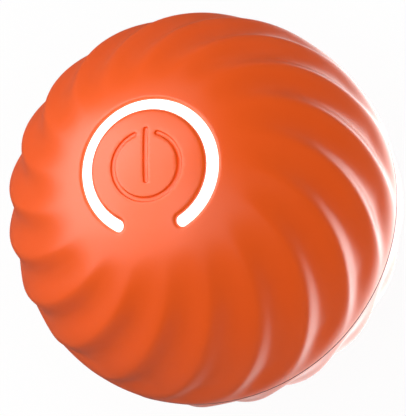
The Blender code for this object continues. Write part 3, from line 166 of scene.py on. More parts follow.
def skin_point(polar, azimuth):
    """A point on the ridged surface."""
    x, y = around(math.sin(polar), azimuth)
    direction = Vector((x, y, math.cos(polar)))
    return direction * (BALL_RADIUS - drop(direction))


for degrees in (60.0, 75.0, 90.0):
    polar = math.radians(degrees)
    depth = drop(skin_point(polar, valley(polar)))
    print("valley depth at", degrees, "degrees", round(depth / MM, 3), "mm")

# %% [markdown]
# ## A sheet of faces that grows piece by piece
#
# Each visible skin is first a single sheet: ladders of quads where it follows a line, such as a
# ridge or the rounded edge of a slot, and triangles where it only has to fill the space between
# lines. Points that fall on the same spot are one point, so the parts of a sheet join by
# themselves. At the end the sheet gets an inner side and walls, and it is a closed solid. Boolean
# cuts in a ball would do the same job, but they leave slivers that spoil the shading.

# %% The sheet
SAME_SPOT = 0.0001 * MM


class Sheet:
    """Points and faces that join where they touch."""

    def __init__(self):
        self.points = []
        self.faces = []
        self.known = {}

    def spot(self, point):
        """The number of a point, new or already there."""
        key = tuple(round(value / SAME_SPOT) for value in point)
        if key not in self.known:
            self.known[key] = len(self.points)
            self.points.append(Vector(point))
        return self.known[key]

    def ladder(self, rows, closed=False):
        """Quads between rows that have the same number of points."""
        for low, high in zip(rows, rows[1:]):
            last = len(low) if closed else len(low) - 1
            for index in range(last):
                after = (index + 1) % len(low)
                corners = (low[index], low[after], high[after], high[index])
                face = list(dict.fromkeys(self.spot(point) for point in corners))
                if len(face) > 2:
                    self.faces.append(face)

    def open_edges(self):
        """The edges that only one face uses."""
        used = {}
        for face in self.faces:
            for start, end in zip(face, face[1:] + face[:1]):
                used.setdefault(frozenset((start, end)), []).append((start, end))
        return [found[0] for found in used.values() if len(found) == 1]

    def close(self, inner):
        """Adds an inner side, given by a function of the outer point, and the walls between."""
        rims = self.open_edges()
        below = [self.spot(inner(point)) for point in list(self.points)]
        sides = [[below[corner] for corner in face] for face in self.faces]
        sides += [[end, start, below[start], below[end]] for start, end in rims]
        slim = [list(dict.fromkeys(face)) for face in sides]
        self.faces += [face for face in slim if len(face) > 2]


print("points within", SAME_SPOT / MM, "mm join")

# %% [markdown]
# ## Filling the space between lines
#
# A cap has no direction of its own, only a rim and some holes in it. One big many-sided face would
# fill it but couldn't bend with the ball. So the space gets an even grid of points, planned on the
# flat, and Blender's constrained triangulation joins them to the rims without crossing one.

# %% Fill with triangles
FILL_SPACING = 0.7 * MM


def inside_test(flat, edges):
    """A test that is true for a place inside a loop and outside the loops within it."""
    starts = np.array([flat[start] for start, end in edges])
    ends = np.array([flat[end] for start, end in edges])

    def inside(x, y):
        """True where a line to the right crosses the loops an odd number of times."""
        passed = (starts[:, 1] > y) != (ends[:, 1] > y)
        (x1, y1), (x2, y2) = starts[passed].T, ends[passed].T
        return np.count_nonzero(x1 + (x2 - x1) * (y - y1) / (y2 - y1) > x) % 2 == 1

    return inside


def grid_places(flat, inside):
    """Places of a triangular grid that lie inside the loops and clear of their points."""
    near = kdtree.KDTree(len(flat))
    for number, (x, y) in enumerate(flat):
        near.insert((x, y, 0.0), number)
    near.balance()
    reach = max(max(abs(x), abs(y)) for x, y in flat)
    rows = math.ceil(reach / FILL_SPACING * 2 / math.sqrt(3))
    places = []
    for row in range(-rows, rows + 1):
        for column in range(-rows, rows + 1):
            x = (column + row % 2 / 2) * FILL_SPACING
            y = row * FILL_SPACING * math.sqrt(3) / 2
            if inside(x, y) and near.find((x, y, 0.0))[2] > FILL_SPACING / 2:
                places.append((x, y))
    return places


def fill(sheet, loops, flatten, lift):
    """Triangles between loops of points, planned on the flat and lifted back."""
    points = []
    edges = []
    for loop in loops:
        first = len(points)
        points += loop
        edges += [(first + step, first + (step + 1) % len(loop)) for step in range(len(loop))]
    flat = [flatten(point) for point in points]
    inside = inside_test(flat, edges)
    grid = grid_places(flat, inside)
    points += [lift(x, y) for x, y in grid]
    flat += grid
    planned = delaunay_2d_cdt([Vector(place) for place in flat], edges, [], 0, SAME_SPOT)
    places, triangles, origins = planned[0], planned[2], planned[3]
    spots = [sheet.spot(points[origin[0]]) for origin in origins]
    for triangle in triangles:
        x, y = sum((places[corner] for corner in triangle), Vector((0.0, 0.0))) / 3
        if inside(x, y):
            sheet.faces.append([spots[corner] for corner in triangle])


print("filling points are", round(FILL_SPACING / MM, 3), "mm apart")

# %% [markdown]
# ## From a sheet to an object
#
# Moulded rubber is smooth, with an edge only where two surfaces meet steeply. Smooth shading gives
# the first and a sharp mark on steep edges the second. A bevel modifier isn't needed, because the
# sheets already carry their rounded edges. The count of open edges shows whether a piece is closed.

# %% Make an object
SHARP_ANGLE = math.radians(35.0)


def make_piece(name, sheet):
    """An object with smooth shading from a sheet."""
    mesh = bpy.data.meshes.new(name)
    mesh.from_pydata(sheet.points, [], sheet.faces)
    work = bmesh.new()
    work.from_mesh(mesh)
    bmesh.ops.remove_doubles(work, verts=work.verts, dist=SAME_SPOT)
    bmesh.ops.recalc_face_normals(work, faces=work.faces)
    loose = [point for point in work.verts if not point.link_faces]
    bmesh.ops.delete(work, geom=loose, context="VERTS")
    open_count = sum(not edge.is_manifold for edge in work.edges)
    work.to_mesh(mesh)
    work.free()
    mesh.shade_smooth()
    mesh.set_sharp_from_angle(angle=SHARP_ANGLE)
    piece = bpy.data.objects.new(name, mesh)
    bpy.context.collection.objects.link(piece)
    print(name, len(mesh.vertices), "points", len(mesh.polygons), "faces", open_count, "open edges")
    return piece


print("edges over", round(math.degrees(SHARP_ANGLE)), "degrees stay sharp")

# %% [markdown]
# ## Lines round the light's slot
#
# The slot is a C: an arc with round ends. It could be cut out of the skin with a solid C, but shell
# and button have to share its line point for point. So the line is worked out, in coordinates bent
# like the arc, across it and along it. The outer half of each round end belongs to the shell and
# the inner half to the button. Between the two ends shell and button meet on the same circle,
# where the real rubber is one piece and bends as a living hinge.

# %% Outlines of the slot
LIGHT_END = math.radians(30.3)
SLOT_HALF = 1.2 * MM
ARC_COLUMNS = 240
END_COLUMNS = 8


def slot_line(side, distance):
    """Half the slot's outline, from neck to neck: the shell's side for 1, the button's for -1."""
    line = []
    for step in range(END_COLUMNS):
        angle = math.pi / 2 * (1 - step / END_COLUMNS)
        along = distance * math.sin(angle) / LIGHT_RADIUS
        line.append(around(LIGHT_RADIUS + side * distance * math.cos(angle), LIGHT_END - along))
    sweep = math.tau - 2 * LIGHT_END
    for step in range(ARC_COLUMNS + 1):
        line.append(around(LIGHT_RADIUS + side * distance, LIGHT_END + sweep * step / ARC_COLUMNS))
    for x, y in reversed(line[:END_COLUMNS]):
        line.append((-x, y))
    return line


print("half the slot's outline has", len(slot_line(1, SLOT_HALF)), "points")

# %% [markdown]
# ## The slot's rounded edge
#
# A mould leaves no knife edge in rubber, so the slot's edges are a quarter round that catches the
# light. A bevel modifier makes such an edge, but it would also bevel the neck, where shell and
# button only meet. So rows of points form it, each a little further out and higher than the last.

# %% Rows over the edge
SLOT_EDGE = 0.8 * MM
SLOT_REACH = SLOT_HALF + SLOT_EDGE
EDGE_STEPS = 7
NECK_COLUMNS = 40


def on_ball(x, y, depth=0.0):
    """The point of the smooth cap over a flat place."""
    radius = BALL_RADIUS - depth
    return Vector((x, y, math.sqrt(radius ** 2 - x ** 2 - y ** 2)))


def from_above(point):
    """The flat place of a point, seen along the button's axis."""
    return point.x, point.y


def edge_levels(edge, steps):
    """(distance out, depth) over a quarter round edge, from the surface down."""
    angles = [math.pi / 2 * step / steps for step in range(steps + 1)]
    return [(edge * (1 - math.sin(angle)), edge * (1 - math.cos(angle))) for angle in angles]


def edge_rows(side):
    """Rows of points over the rounded edge of the slot, from the wall up."""
    rows = []
    for out, depth in reversed(edge_levels(SLOT_EDGE, EDGE_STEPS)):
        rows.append([on_ball(x, y, depth) for x, y in slot_line(side, SLOT_HALF + out)])
    return rows


def neck_row():
    """Points where the shell and the button meet, between the tips of the slot's edge."""
    half = LIGHT_END - SLOT_REACH / LIGHT_RADIUS
    turns = [half * (2 * step / NECK_COLUMNS - 1) for step in range(1, NECK_COLUMNS)]
    return [on_ball(*around(LIGHT_RADIUS, turn)) for turn in turns]


print("slot is", round(2 * SLOT_HALF / MM, 2), "mm wide,", round(2 * SLOT_REACH / MM, 2), "at the top")

# %% [markdown]
# ## The front half
#
# The front half is the rubber skin that the picture shows. Its ridges are a ladder whose columns
# follow the valleys, so no facet cuts across a crest or a valley, as it would on a plain ball of
# rings and segments. The cap is filled between the first row of the ridges and the slot's edge. At
# the seam the two halves leave a narrow groove and nearly touch at its bottom. Painted shade on the
# groove's walls helps it look like a dark hairline.

# %% Rows of ridges and the seam's lip
CAP_ANGLE = math.radians(25.0)
ROW_ANGLE = math.radians(1.0)
COLUMNS_PER_RIDGE = 24
SEAM_GAP = 0.45 * MM
SEAM_DEPTH = 1.8 * MM
SEAM_TOUCH = 0.01 * MM


def ridge_rows(first, last):
    """Rows of points from one angle off the pole to another, twisted with the valleys."""
    count = round(abs(last - first) / ROW_ANGLE)
    columns = RIDGE_COUNT * COLUMNS_PER_RIDGE
    rows = []
    for row in range(count + 1):
        polar = first + (last - first) * row / count
        start = valley(polar)
        rows.append([skin_point(polar, start + math.tau * step / columns) for step in range(columns)])
    return rows


def seam_lip(row, side):
    """Levels a half's last row at the seam, and gives the row where the halves come closest."""
    lip = []
    for point in row:
        point.z = side * SEAM_GAP / 2
        deeper = point.normalized() * (point.length - SEAM_DEPTH)
        deeper.z = side * SEAM_TOUCH
        lip.append(deeper)
    return lip


def to_liner(point):
    """The point of the skin's inner side under an outer point."""
    return point.normalized() * SKIN_INSIDE


print("seam groove", round(SEAM_GAP / MM, 3), "mm wide and", round(SEAM_DEPTH / MM, 3), "mm deep")


# %% Build the front shell
def front_shell():
    """The front half with its slot, open at the button's neck."""
    sheet = Sheet()
    rows = ridge_rows(CAP_ANGLE, math.pi / 2)
    sheet.ladder(rows + [seam_lip(rows[-1], 1)], closed=True)
    edge = edge_rows(1)
    sheet.ladder(edge)
    fill(sheet, [rows[0], edge[-1] + neck_row()], from_above, on_ball)
    sheet.close(to_liner)
    return make_piece("front_shell", sheet)


shell = front_shell()
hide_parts("front_skin")
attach(shell, "root")

# %% [markdown]
# ## The power symbol's grooves
#
# A power symbol is pressed into the button: a ring with a gap, and a bar. Each groove is a stroke
# along a path. A bump in the material could draw it, but it has to hold up close and from the side,
# so it is geometry: outlines at growing distances from the path form a ladder that starts on the
# path itself and rises from the groove's floor to the surface in a soft S.

# %% Outlines round a path
STROKE_END_STEPS = 10


def arc_path(radius, start, end, steps):
    """Points along an arc."""
    return [Vector(around(radius, start + (end - start) * step / steps)) for step in range(steps + 1)]


def stroke(path, distance):
    """The outline at a distance round a path, with round ends."""
    before = [path[0]] + path[:-1]
    after = path[1:] + [path[-1]]
    along = [(end - start).normalized() for start, end in zip(before, after)]
    across = [Vector((-way.y, way.x)) for way in along]
    turns = [math.pi * step / STROKE_END_STEPS for step in range(1, STROKE_END_STEPS)]
    left = [point + side * distance for point, side in zip(path, across)]
    right = [point - side * distance for point, side in zip(path, across)]
    first = [path[0] - (across[0] * math.cos(a) + along[0] * math.sin(a)) * distance for a in turns]
    last = [path[-1] + (across[-1] * math.cos(a) + along[-1] * math.sin(a)) * distance for a in turns]
    return [tuple(point) for point in left + last + right[::-1] + first]


# %% The symbol's ring and bar
SYMBOL_RADIUS = 7.2 * MM
SYMBOL_GAP = math.radians(20.0)
SYMBOL_BAR_TOP = 7.75 * MM
SYMBOL_BAR_BOTTOM = 3.3 * MM
SYMBOL_STEPS = 120
BAR_STEPS = 30
GROOVE_DEPTH = 0.5 * MM
GROOVE_FLOOR = 0.3 * MM
GROOVE_EDGE = 0.62 * MM
GROOVE_ROWS = 7


def symbol_paths():
    """The paths of the ring and the bar."""
    ring = arc_path(SYMBOL_RADIUS, math.pi + SYMBOL_GAP, math.pi - SYMBOL_GAP + math.tau, SYMBOL_STEPS)
    length = SYMBOL_BAR_TOP + SYMBOL_BAR_BOTTOM
    bar = [Vector((0.0, SYMBOL_BAR_TOP - length * step / BAR_STEPS)) for step in range(BAR_STEPS + 1)]
    return [ring, bar]


def groove_rows(path):
    """Rows from the middle of a groove to its upper edge."""
    rows = [[on_ball(x, y, GROOVE_DEPTH) for x, y in stroke(path, 0.0)]]
    for step in range(GROOVE_ROWS + 1):
        distance = GROOVE_FLOOR + (GROOVE_EDGE - GROOVE_FLOOR) * step / GROOVE_ROWS
        depth = GROOVE_DEPTH * smooth_step(-distance, -GROOVE_EDGE, -GROOVE_FLOOR)
        rows.append([on_ball(x, y, depth) for x, y in stroke(path, distance)])
    return rows


print("grooves have", [len(groove_rows(path)[-1]) for path in symbol_paths()], "columns")

# %% [markdown]
# ## The power button
#
# The button is a tongue of the same rubber inside the C, and a post under it reaches down to the
# switch. The real one bends in the neck between the slot's ends.

# %% Build the button
BUTTON_THICKNESS = 1.8 * MM
BUTTON_INSIDE = BALL_RADIUS - BUTTON_THICKNESS
POST_RADIUS = 2.0 * MM
POST_COLUMNS = 32


def circle_row(radius, height):
    """A level ring of points."""
    turns = [math.tau * step / POST_COLUMNS for step in range(POST_COLUMNS)]
    return [Vector((*around(radius, turn), height)) for turn in turns]


def button_tongue():
    """The tongue with the symbol's grooves, and its post."""
    sheet = Sheet()
    edge = edge_rows(-1)
    sheet.ladder(edge)
    loops = [edge[-1] + neck_row()]
    for path in symbol_paths():
        groove = groove_rows(path)
        sheet.ladder(groove, closed=True)
        loops.append(groove[-1])
    fill(sheet, loops, from_above, on_ball)
    sheet.close(lambda point: point.normalized() * BUTTON_INSIDE)
    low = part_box("power_button")[0][2]
    rows = [circle_row(0.0, low), circle_row(POST_RADIUS, low)]
    rows += [circle_row(POST_RADIUS, BUTTON_INSIDE), circle_row(0.0, BUTTON_INSIDE)]
    sheet.ladder(rows, closed=True)
    return make_piece("button_tongue", sheet)


tongue = button_tongue()
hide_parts("power_button")
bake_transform(tongue)

# %% [markdown]
# ## The light
#
# Behind the slot lies a guide of milky plastic: a C-shaped rib on a round base, lit by six lamps on
# the board. A glowing curve in the slot would look the same from the front, but the guide also has
# to look right from the side. So it is the whole piece. Its top is sunk a little under the rubber
# and has softly rounded edges.

# %% The rib and its base
RIB_HALF = 1.14 * MM
RIB_SINK = 0.55 * MM
RIB_EDGE = 0.35 * MM
RIB_EDGE_STEPS = 5
LIGHT_STEPS = 200
BASE_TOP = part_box("front_liner")[1][0]
BASE_THICKNESS = 1.0 * MM
BASE_HALF = 2.65 * MM
BASE_INNER = LIGHT_RADIUS - BASE_HALF
BASE_OUTER = LIGHT_RADIUS + BASE_HALF
RIB_FOOT = BALL_RADIUS - BASE_TOP + BASE_THICKNESS / 2


def light_rib(sheet):
    """The C-shaped rib, from its rounded top down into the base."""
    path = arc_path(LIGHT_RADIUS, LIGHT_END, math.tau - LIGHT_END, LIGHT_STEPS)
    edge = edge_levels(RIB_EDGE, RIB_EDGE_STEPS)
    levels = [(0.0, RIB_SINK)]
    levels += [(RIB_HALF - out, RIB_SINK + depth) for out, depth in edge]
    levels += [(RIB_HALF, RIB_FOOT), (0.0, RIB_FOOT)]
    rows = [[on_ball(x, y, depth) for x, y in stroke(path, distance)] for distance, depth in levels]
    sheet.ladder(rows, closed=True)


def light_base(sheet):
    """The round base, which lies on the liner and follows the ball."""
    turns = [math.tau * step / LIGHT_STEPS for step in range(LIGHT_STEPS)]
    levels = [(BASE_INNER, BASE_TOP), (LIGHT_RADIUS, BASE_TOP), (BASE_OUTER, BASE_TOP)]
    levels += [(radius, top - BASE_THICKNESS) for radius, top in reversed(levels)]
    rows = []
    for radius, ball in levels + levels[:1]:
        rows.append([on_ball(*around(radius, turn), BALL_RADIUS - ball) for turn in turns])
    sheet.ladder(rows, closed=True)


# %% Build the light guide
glow_sheet = Sheet()
light_rib(glow_sheet)
light_base(glow_sheet)
light_guide = make_piece("light_guide", glow_sheet)
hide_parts("light_ring")
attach(light_guide, "root")

# %% [markdown]
# ## Outlines at the charging port
#
# The port is a recess for the flap, with a well in its floor that leads to the socket. Both are
# drawn on the flat, as seen straight into the port, and then laid on the ball. Depths are measured
# towards the ball's centre, so all walls stand square to its surface. The same outlines serve the
# shell and the flap, so the gap between the two is even all round.

# %% Flat outlines and where they lie
COVER_RADIUS = 7.5 * MM
COVER_CHORD = 6.0 * MM
COVER_COLUMNS = 96
CHORD_COLUMNS = 16
WELL_WIDTH = 12.6 * MM
WELL_HEIGHT = 6.9 * MM
WELL_STEPS = 16


def port_point(x, y, depth=0.0):
    """A point by its place as seen from outside the port and its depth under the ball."""
    out = math.sqrt(BALL_RADIUS ** 2 - x ** 2 - y ** 2)
    direction = (PORT_SIDE * x + PORT_UP * y + PORT_AXIS * out).normalized()
    return direction * (BALL_RADIUS - depth)


def port_place(point):
    """The flat place of a point, at any depth."""
    surface = point.normalized() * BALL_RADIUS
    return surface.dot(PORT_SIDE), surface.dot(PORT_UP)


def port_row(line, depth):
    """A flat line laid at a depth under the ball."""
    return [port_point(x, y, depth) for x, y in line]


def flap_line(grow):
    """The flap's outline, a circle cut off straight at its hinge, made larger all round."""
    radius, chord = COVER_RADIUS + grow, COVER_CHORD + grow
    limit = math.acos(chord / radius)
    line = []
    for step in range(COVER_COLUMNS + 1):
        angle = math.pi / 2 + limit + (math.tau - 2 * limit) * step / COVER_COLUMNS
        line.append((radius * math.cos(angle), radius * math.sin(angle)))
    half = radius * math.sin(limit)
    line += [(half * (1 - 2 * step / CHORD_COLUMNS), chord) for step in range(1, CHORD_COLUMNS)]
    return line


def well_line(inset):
    """The outline of the well, a bar with round ends."""
    half = (WELL_WIDTH - WELL_HEIGHT) / 2
    path = [Vector((half * (2 * step / WELL_STEPS - 1), 0.0)) for step in range(WELL_STEPS + 1)]
    return stroke(path, WELL_HEIGHT / 2 - inset)


print("flap outline", len(flap_line(0.0)), "points, well", len(well_line(0.0)), "points")

# %% [markdown]
# ## The rear half
#
# The rear half carries the same ridges on, with a smooth cap of its own and a smooth round pad for
# the port. The pad's faces are cut out of the ladder of ridges, and the hole is filled afresh
# between its rim and the recess. That keeps the ridges' own faces as they are, where a boolean cut
# would break them up.

# %% The rim of a hole
def rim_near(sheet, centre, reach):
    """The open rim round a centre, as points in order."""
    beside = {}
    for start, end in sheet.open_edges():
        if (sheet.points[start] - centre).length < reach:
            beside.setdefault(start, []).append(end)
            beside.setdefault(end, []).append(start)
    order = [min(beside)]
    while len(order) < len(beside):
        order.append(next(spot for spot in beside[order[-1]] if spot not in order[-2:] + order[:1]))
    return [sheet.points[spot] for spot in order]


# %% Build the rear shell
PORT_CUT = 9.6 * MM
COVER_THICKNESS = 1.6 * MM
COVER_GAP = 0.3 * MM
RECESS_DEPTH = COVER_THICKNESS + COVER_GAP
RECESS_EDGE = 0.35 * MM
RECESS_EDGE_STEPS = 4


def under_ball(x, y):
    """The point of the smooth rear cap under a flat place."""
    return on_ball(x, y) * Vector((1.0, 1.0, -1.0))


def port_walls(sheet):
    """The recess and the well, joined to the rim of the hole round them."""
    middle = PORT_AXIS * BALL_RADIUS
    near = {number for number, point in enumerate(sheet.points) if (point - middle).length < PORT_CUT}
    sheet.faces = [face for face in sheet.faces if not near.issuperset(face)]
    levels = edge_levels(RECESS_EDGE, RECESS_EDGE_STEPS) + [(0.0, RECESS_DEPTH)]
    recess = [port_row(flap_line(COVER_GAP + out), depth) for out, depth in levels]
    well = [port_row(well_line(0.0), depth) for depth in (RECESS_DEPTH, SKIN_THICKNESS)]
    fill(sheet, [rim_near(sheet, middle, PORT_CUT), recess[0]], port_place, port_point)
    fill(sheet, [recess[-1], well[0]], port_place, lambda x, y: port_point(x, y, RECESS_DEPTH))
    sheet.ladder(recess, closed=True)
    sheet.ladder(well, closed=True)


def rear_shell():
    """The rear half with its cap and its port."""
    sheet = Sheet()
    rows = ridge_rows(math.pi / 2, math.pi - CAP_ANGLE)
    sheet.ladder([seam_lip(rows[0], -1)] + rows, closed=True)
    fill(sheet, [rows[-1]], from_above, under_ball)
    port_walls(sheet)
    sheet.close(to_liner)
    return make_piece("rear_shell", sheet)


rear = rear_shell()
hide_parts("rear_skin")
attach(rear, "root")

# %% [markdown]
# ## The flap over the port
#
# The flap is a rubber disc flush with the ball, hinged at its straight upper edge. A shallow plug on
# its inner side seals the well. A flat disc with a bevel would be quicker, but it would stand proud
# at its middle or sink in at its rim. So its outer side is laid on the ball like the rest.

# %% Build the flap
FLAP_EDGE = 0.4 * MM
PLUG_CLEARANCE = 0.6 * MM
PLUG_DEPTH = 1.1 * MM
PLUG_END = COVER_THICKNESS + PLUG_DEPTH


def flap():
    """The flap with its plug."""
    sheet = Sheet()
    levels = [(-out, depth) for out, depth in edge_levels(FLAP_EDGE, RECESS_EDGE_STEPS)]
    levels += [(0.0, COVER_THICKNESS)]
    side = [port_row(flap_line(grow), depth) for grow, depth in levels]
    plug = [port_row(well_line(PLUG_CLEARANCE), depth) for depth in (COVER_THICKNESS, PLUG_END)]
    sheet.ladder(side, closed=True)
    sheet.ladder(plug, closed=True)
    fill(sheet, [side[0]], port_place, port_point)
    fill(sheet, [side[-1], plug[0]], port_place, lambda x, y: port_point(x, y, COVER_THICKNESS))
    fill(sheet, [plug[-1]], port_place, lambda x, y: port_point(x, y, PLUG_END))
    return make_piece("port_flap", sheet)


port_flap = flap()
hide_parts("port_cover")
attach(port_flap, "cover")

# %% [markdown]
# ## Shader maths in Python
#
# A material is a graph of nodes. The nodes could be made and linked one by one, which takes three
# lines each and hides the formula. Wrapping a socket in a small class lets a sum such as
# `1 - mask * 0.2` add its Math nodes by itself, so each finish below reads as a formula.

# %% Signals and graphs
class Signal:
    """A number or colour that changes over a surface: the output of a node."""

    def __init__(self, graph, socket):
        self.graph = graph
        self.socket = socket

    def math(self, operation, first, second):
        """A Math node in the signal's own graph."""
        return self.graph.math(operation, first, second)

    def __add__(self, other):
        return self.math("ADD", self, other)

    def __radd__(self, other):
        return self.math("ADD", other, self)

    def __sub__(self, other):
        return self.math("SUBTRACT", self, other)

    def __rsub__(self, other):
        return self.math("SUBTRACT", other, self)

    def __mul__(self, other):
        return self.math("MULTIPLY", self, other)

    def __rmul__(self, other):
        return self.math("MULTIPLY", other, self)


class Graph:
    """A tree of shader nodes."""

    def __init__(self, tree):
        self.tree = tree

    def plug(self, socket, value):
        """Links a signal to a socket, or sets the socket to a plain value."""
        if isinstance(value, Signal):
            self.tree.links.new(value.socket, socket)
        elif hasattr(socket.default_value, "__len__") and len(socket.default_value) == 4:
            socket.default_value = (*value, 1.0)
        else:
            socket.default_value = value

    def node(self, kind, settings=None, sockets=None, output=0):
        """A node with its settings, then its sockets; gives one of its outputs."""
        node = self.tree.nodes.new(kind)
        for name, value in (settings or {}).items():
            if name == "stops":
                for element, (place, colour) in zip(node.color_ramp.elements, value):
                    element.position = place
                    element.color = (*colour, 1.0)
            else:
                setattr(node, name, value)
        for name, value in (sockets or {}).items():
            self.plug(node.inputs[name], value)
        return Signal(self, node.outputs[output])

    def math(self, operation, first, second):
        """A Math node."""
        return self.node("ShaderNodeMath", {"operation": operation}, {0: first, 1: second})


print("helpers", [helper.__name__ for helper in (Signal, Graph)])

# %% [markdown]
# ## What a finish is made of
#
# Every finish here is Blender's Principled shader with a few helpers: noise for what varies, a ramp
# or a mix for its colours, a soft step for an edge, and a bump for grain too fine to model. The
# noise reads object coordinates, so the grain keeps its real size and stays on the piece as it
# moves. Image textures could do this too, but noise has no seams and needs no unwrapping.

# %% A finish
class Finish(Graph):
    """A material with a Principled shader, and the nodes behind it."""

    def __init__(self, name, **constants):
        self.material = bpy.data.materials.new(name)
        self.material.use_nodes = True
        super().__init__(self.material.node_tree)
        self.shader = self.tree.nodes["Principled BSDF"]
        self.set(**constants)

    def set(self, **values):
        """Sets the shader's sockets; an underscore stands for a space."""
        for name, value in values.items():
            title = name.replace("_", " ").title().replace("Ior", "IOR")
            self.plug(self.shader.inputs[title], value)

    def noise(self, scale, detail=2.0, roughness=0.5):
        """Noise from 0 to 1 whose patches are about 1 / scale metres wide."""
        place = self.node("ShaderNodeTexCoord", output="Object")
        sockets = {"Vector": place, "Scale": scale, "Detail": detail, "Roughness": roughness}
        return self.node("ShaderNodeTexNoise", {}, sockets)

    def blend(self, share, low, high):
        """A colour between two, by a share."""
        return self.node("ShaderNodeValToRGB", {"stops": ((0.0, low), (1.0, high))}, {"Fac": share})

    def mix(self, share, low, high):
        """A mix of two colours that may change over the surface themselves."""
        return self.node("ShaderNodeMix", {"data_type": "RGBA"}, {0: share, 6: low, 7: high}, output=2)

    def step(self, value, low, high):
        """Rises smoothly from 0 at low to 1 at high."""
        settings = {"interpolation_type": "SMOOTHSTEP"}
        sockets = {"Value": value, "From Min": low, "From Max": high}
        return self.node("ShaderNodeMapRange", settings, sockets)

    def bump(self, height, distance, strength):
        """A normal that follows a height between 0 and 1, times a distance."""
        sockets = {"Height": height, "Distance": distance, "Strength": strength}
        return self.node("ShaderNodeBump", {}, sockets)


print("helper", Finish.__name__)

# %% [markdown]
# ## The rubber
#
# The ball is moulded in a satin thermoplastic rubber. A mould that was spark-eroded leaves a fine
# grain, which scatters the highlights. The pigment is nearly even: broad patches differ by less than
# a tenth, as they do in a soft, slightly see-through plastic. Subsurface scattering could show that
# depth, but it takes many more samples and hardly shows in a dense pigment. The walls of the seam's
# groove carry painted shade, a darker colour that makes the narrow gap read as a dark line.

# %% Rubber finish
RUBBER = (0.96, 0.110, 0.006)
RUBBER_DEEP = (0.92, 0.100, 0.005)
# Painted shade: the dark colour laid on the walls of the seam's groove.
SEAM_SHADE = (0.20, 0.025, 0.01)
SHADE_EDGE = 0.1 * MM
TINT_SCALE = 90.0
GRAIN_SCALE = 3200.0
PORE_SCALE = 1100.0
GRAIN_SHARE = 0.7
GRAIN_HEIGHT = 0.02 * MM
GRAIN_STRENGTH = 0.6
SATIN = 0.26
SATIN_SPREAD = 0.05


def seam_shade_mask(finish):
    """0 on the walls of the seam's groove, where shade is painted, and 1 everywhere else."""
    place = finish.node("ShaderNodeTexCoord", output="Object")
    height = finish.node("ShaderNodeSeparateXYZ", {}, {"Vector": place}, output="Z")
    off_seam = finish.math("ABSOLUTE", height, 0.0)
    return finish.step(off_seam, SEAM_GAP / 2, SEAM_GAP / 2 + SHADE_EDGE)


def rubber_finish():
    """Orange satin rubber with a moulded grain and painted shade in the seam."""
    finish = Finish("ball_rubber")
    patches = finish.noise(TINT_SCALE, 3.0)
    grain = finish.noise(GRAIN_SCALE, 2.0, 0.6)
    pores = finish.noise(PORE_SCALE, 1.0)
    tint = finish.blend(patches, RUBBER_DEEP, RUBBER)
    # The base colour carries painted shade on the walls of the seam's groove.
    finish.set(base_color=finish.mix(seam_shade_mask(finish), SEAM_SHADE, tint))
    finish.set(roughness=SATIN + patches * SATIN_SPREAD + grain * SATIN_SPREAD)
    height = grain * GRAIN_SHARE + pores * (1 - GRAIN_SHARE)
    finish.set(normal=finish.bump(height, GRAIN_HEIGHT, GRAIN_STRENGTH))
    return finish


rubber = rubber_finish()
for piece in (shell, rear, tongue, port_flap):
    piece.data.materials.append(rubber.material)
print("rubber nodes", len(rubber.tree.nodes))

# %% [markdown]
# ## The lit plastic
#
# The guide glows an even white. It is emission rather than a lamp behind it, because the six lamps
# under it would take far more samples for the same look. A faint noise keeps the moulded grain.

# %% Glow finish
WHITE = (1.0, 1.0, 1.0)
GLOW_WARM = (1.0, 0.97, 0.93)
GLOW_STRENGTH = 1.1
MILK = (0.96, 0.96, 0.96)
MILK_DEEP = (0.90, 0.90, 0.90)
MILK_SCALE = 900.0
MILK_ROUGHNESS = 0.35


def glow_finish():
    """Milky plastic that gives light by itself."""
    finish = Finish("light_guide", roughness=MILK_ROUGHNESS, emission_strength=GLOW_STRENGTH)
    grain = finish.noise(MILK_SCALE, 1.0)
    finish.set(base_color=finish.blend(grain, MILK_DEEP, MILK))
    finish.set(emission_color=finish.blend(grain, GLOW_WARM, WHITE))
    return finish


glow = glow_finish()
light_guide.data.materials.append(glow.material)
print("glow nodes", len(glow.tree.nodes))

# %% [markdown]
# ## The insides
#
# The working solids inside come with the frame and keep their shapes. Each gets the finish of its slot
# in the record: a base colour that varies a little, a roughness, and the grain of how it was made,
# such as moulded, drawn, sintered or printed. They could all share one finish, but then steel would
# look like plastic wherever the port or the slot lets one see in.

# %% Finishes of the inner pieces
GRAIN_ROUGHNESS = 0.1
INNER_STRENGTH = 0.5


def inner_finish(slot, grain_scale, roughness, spread, depth, metallic=0.0):
    """A finish from a slot's colour, with grain at a scale in colour, roughness and bump."""
    finish = Finish(slot["slot"], metallic=metallic)
    grain = finish.noise(grain_scale, 2.0)
    colour = slot["base_color"]
    finish.set(base_color=finish.blend(grain, [part * (1 - spread) for part in colour], colour))
    finish.set(roughness=roughness + grain * GRAIN_ROUGHNESS)
    finish.set(normal=finish.bump(grain, depth, INNER_STRENGTH))
    return finish


# Per slot: the grain's scale, the roughness, the spread of colour, the grain's height and, for
# metals, how metallic it is.
GRAINS = {
    "liner_plastic": (2500.0, 0.40, 0.25, 0.015 * MM),
    "seal_rubber": (1800.0, 0.60, 0.20, 0.015 * MM),
    "frame_plastic": (2200.0, 0.40, 0.08, 0.012 * MM),
    "gear_plastic": (1500.0, 0.30, 0.06, 0.006 * MM),
    "circuit_board": (1200.0, 0.30, 0.30, 0.010 * MM),
    "chip_black": (3000.0, 0.45, 0.20, 0.008 * MM),
    "lamp": (1500.0, 0.20, 0.15, 0.006 * MM),
    "steel": (2600.0, 0.22, 0.12, 0.004 * MM, 1.0),
    "weight_steel": (1600.0, 0.38, 0.18, 0.008 * MM, 1.0),
    "bearing_bronze": (2800.0, 0.38, 0.20, 0.010 * MM, 1.0),
    "cell_foil": (700.0, 0.30, 0.10, 0.020 * MM, 0.7),
    "wire_red": (1400.0, 0.38, 0.12, 0.006 * MM),
    "wire_black": (1400.0, 0.38, 0.15, 0.006 * MM),
}

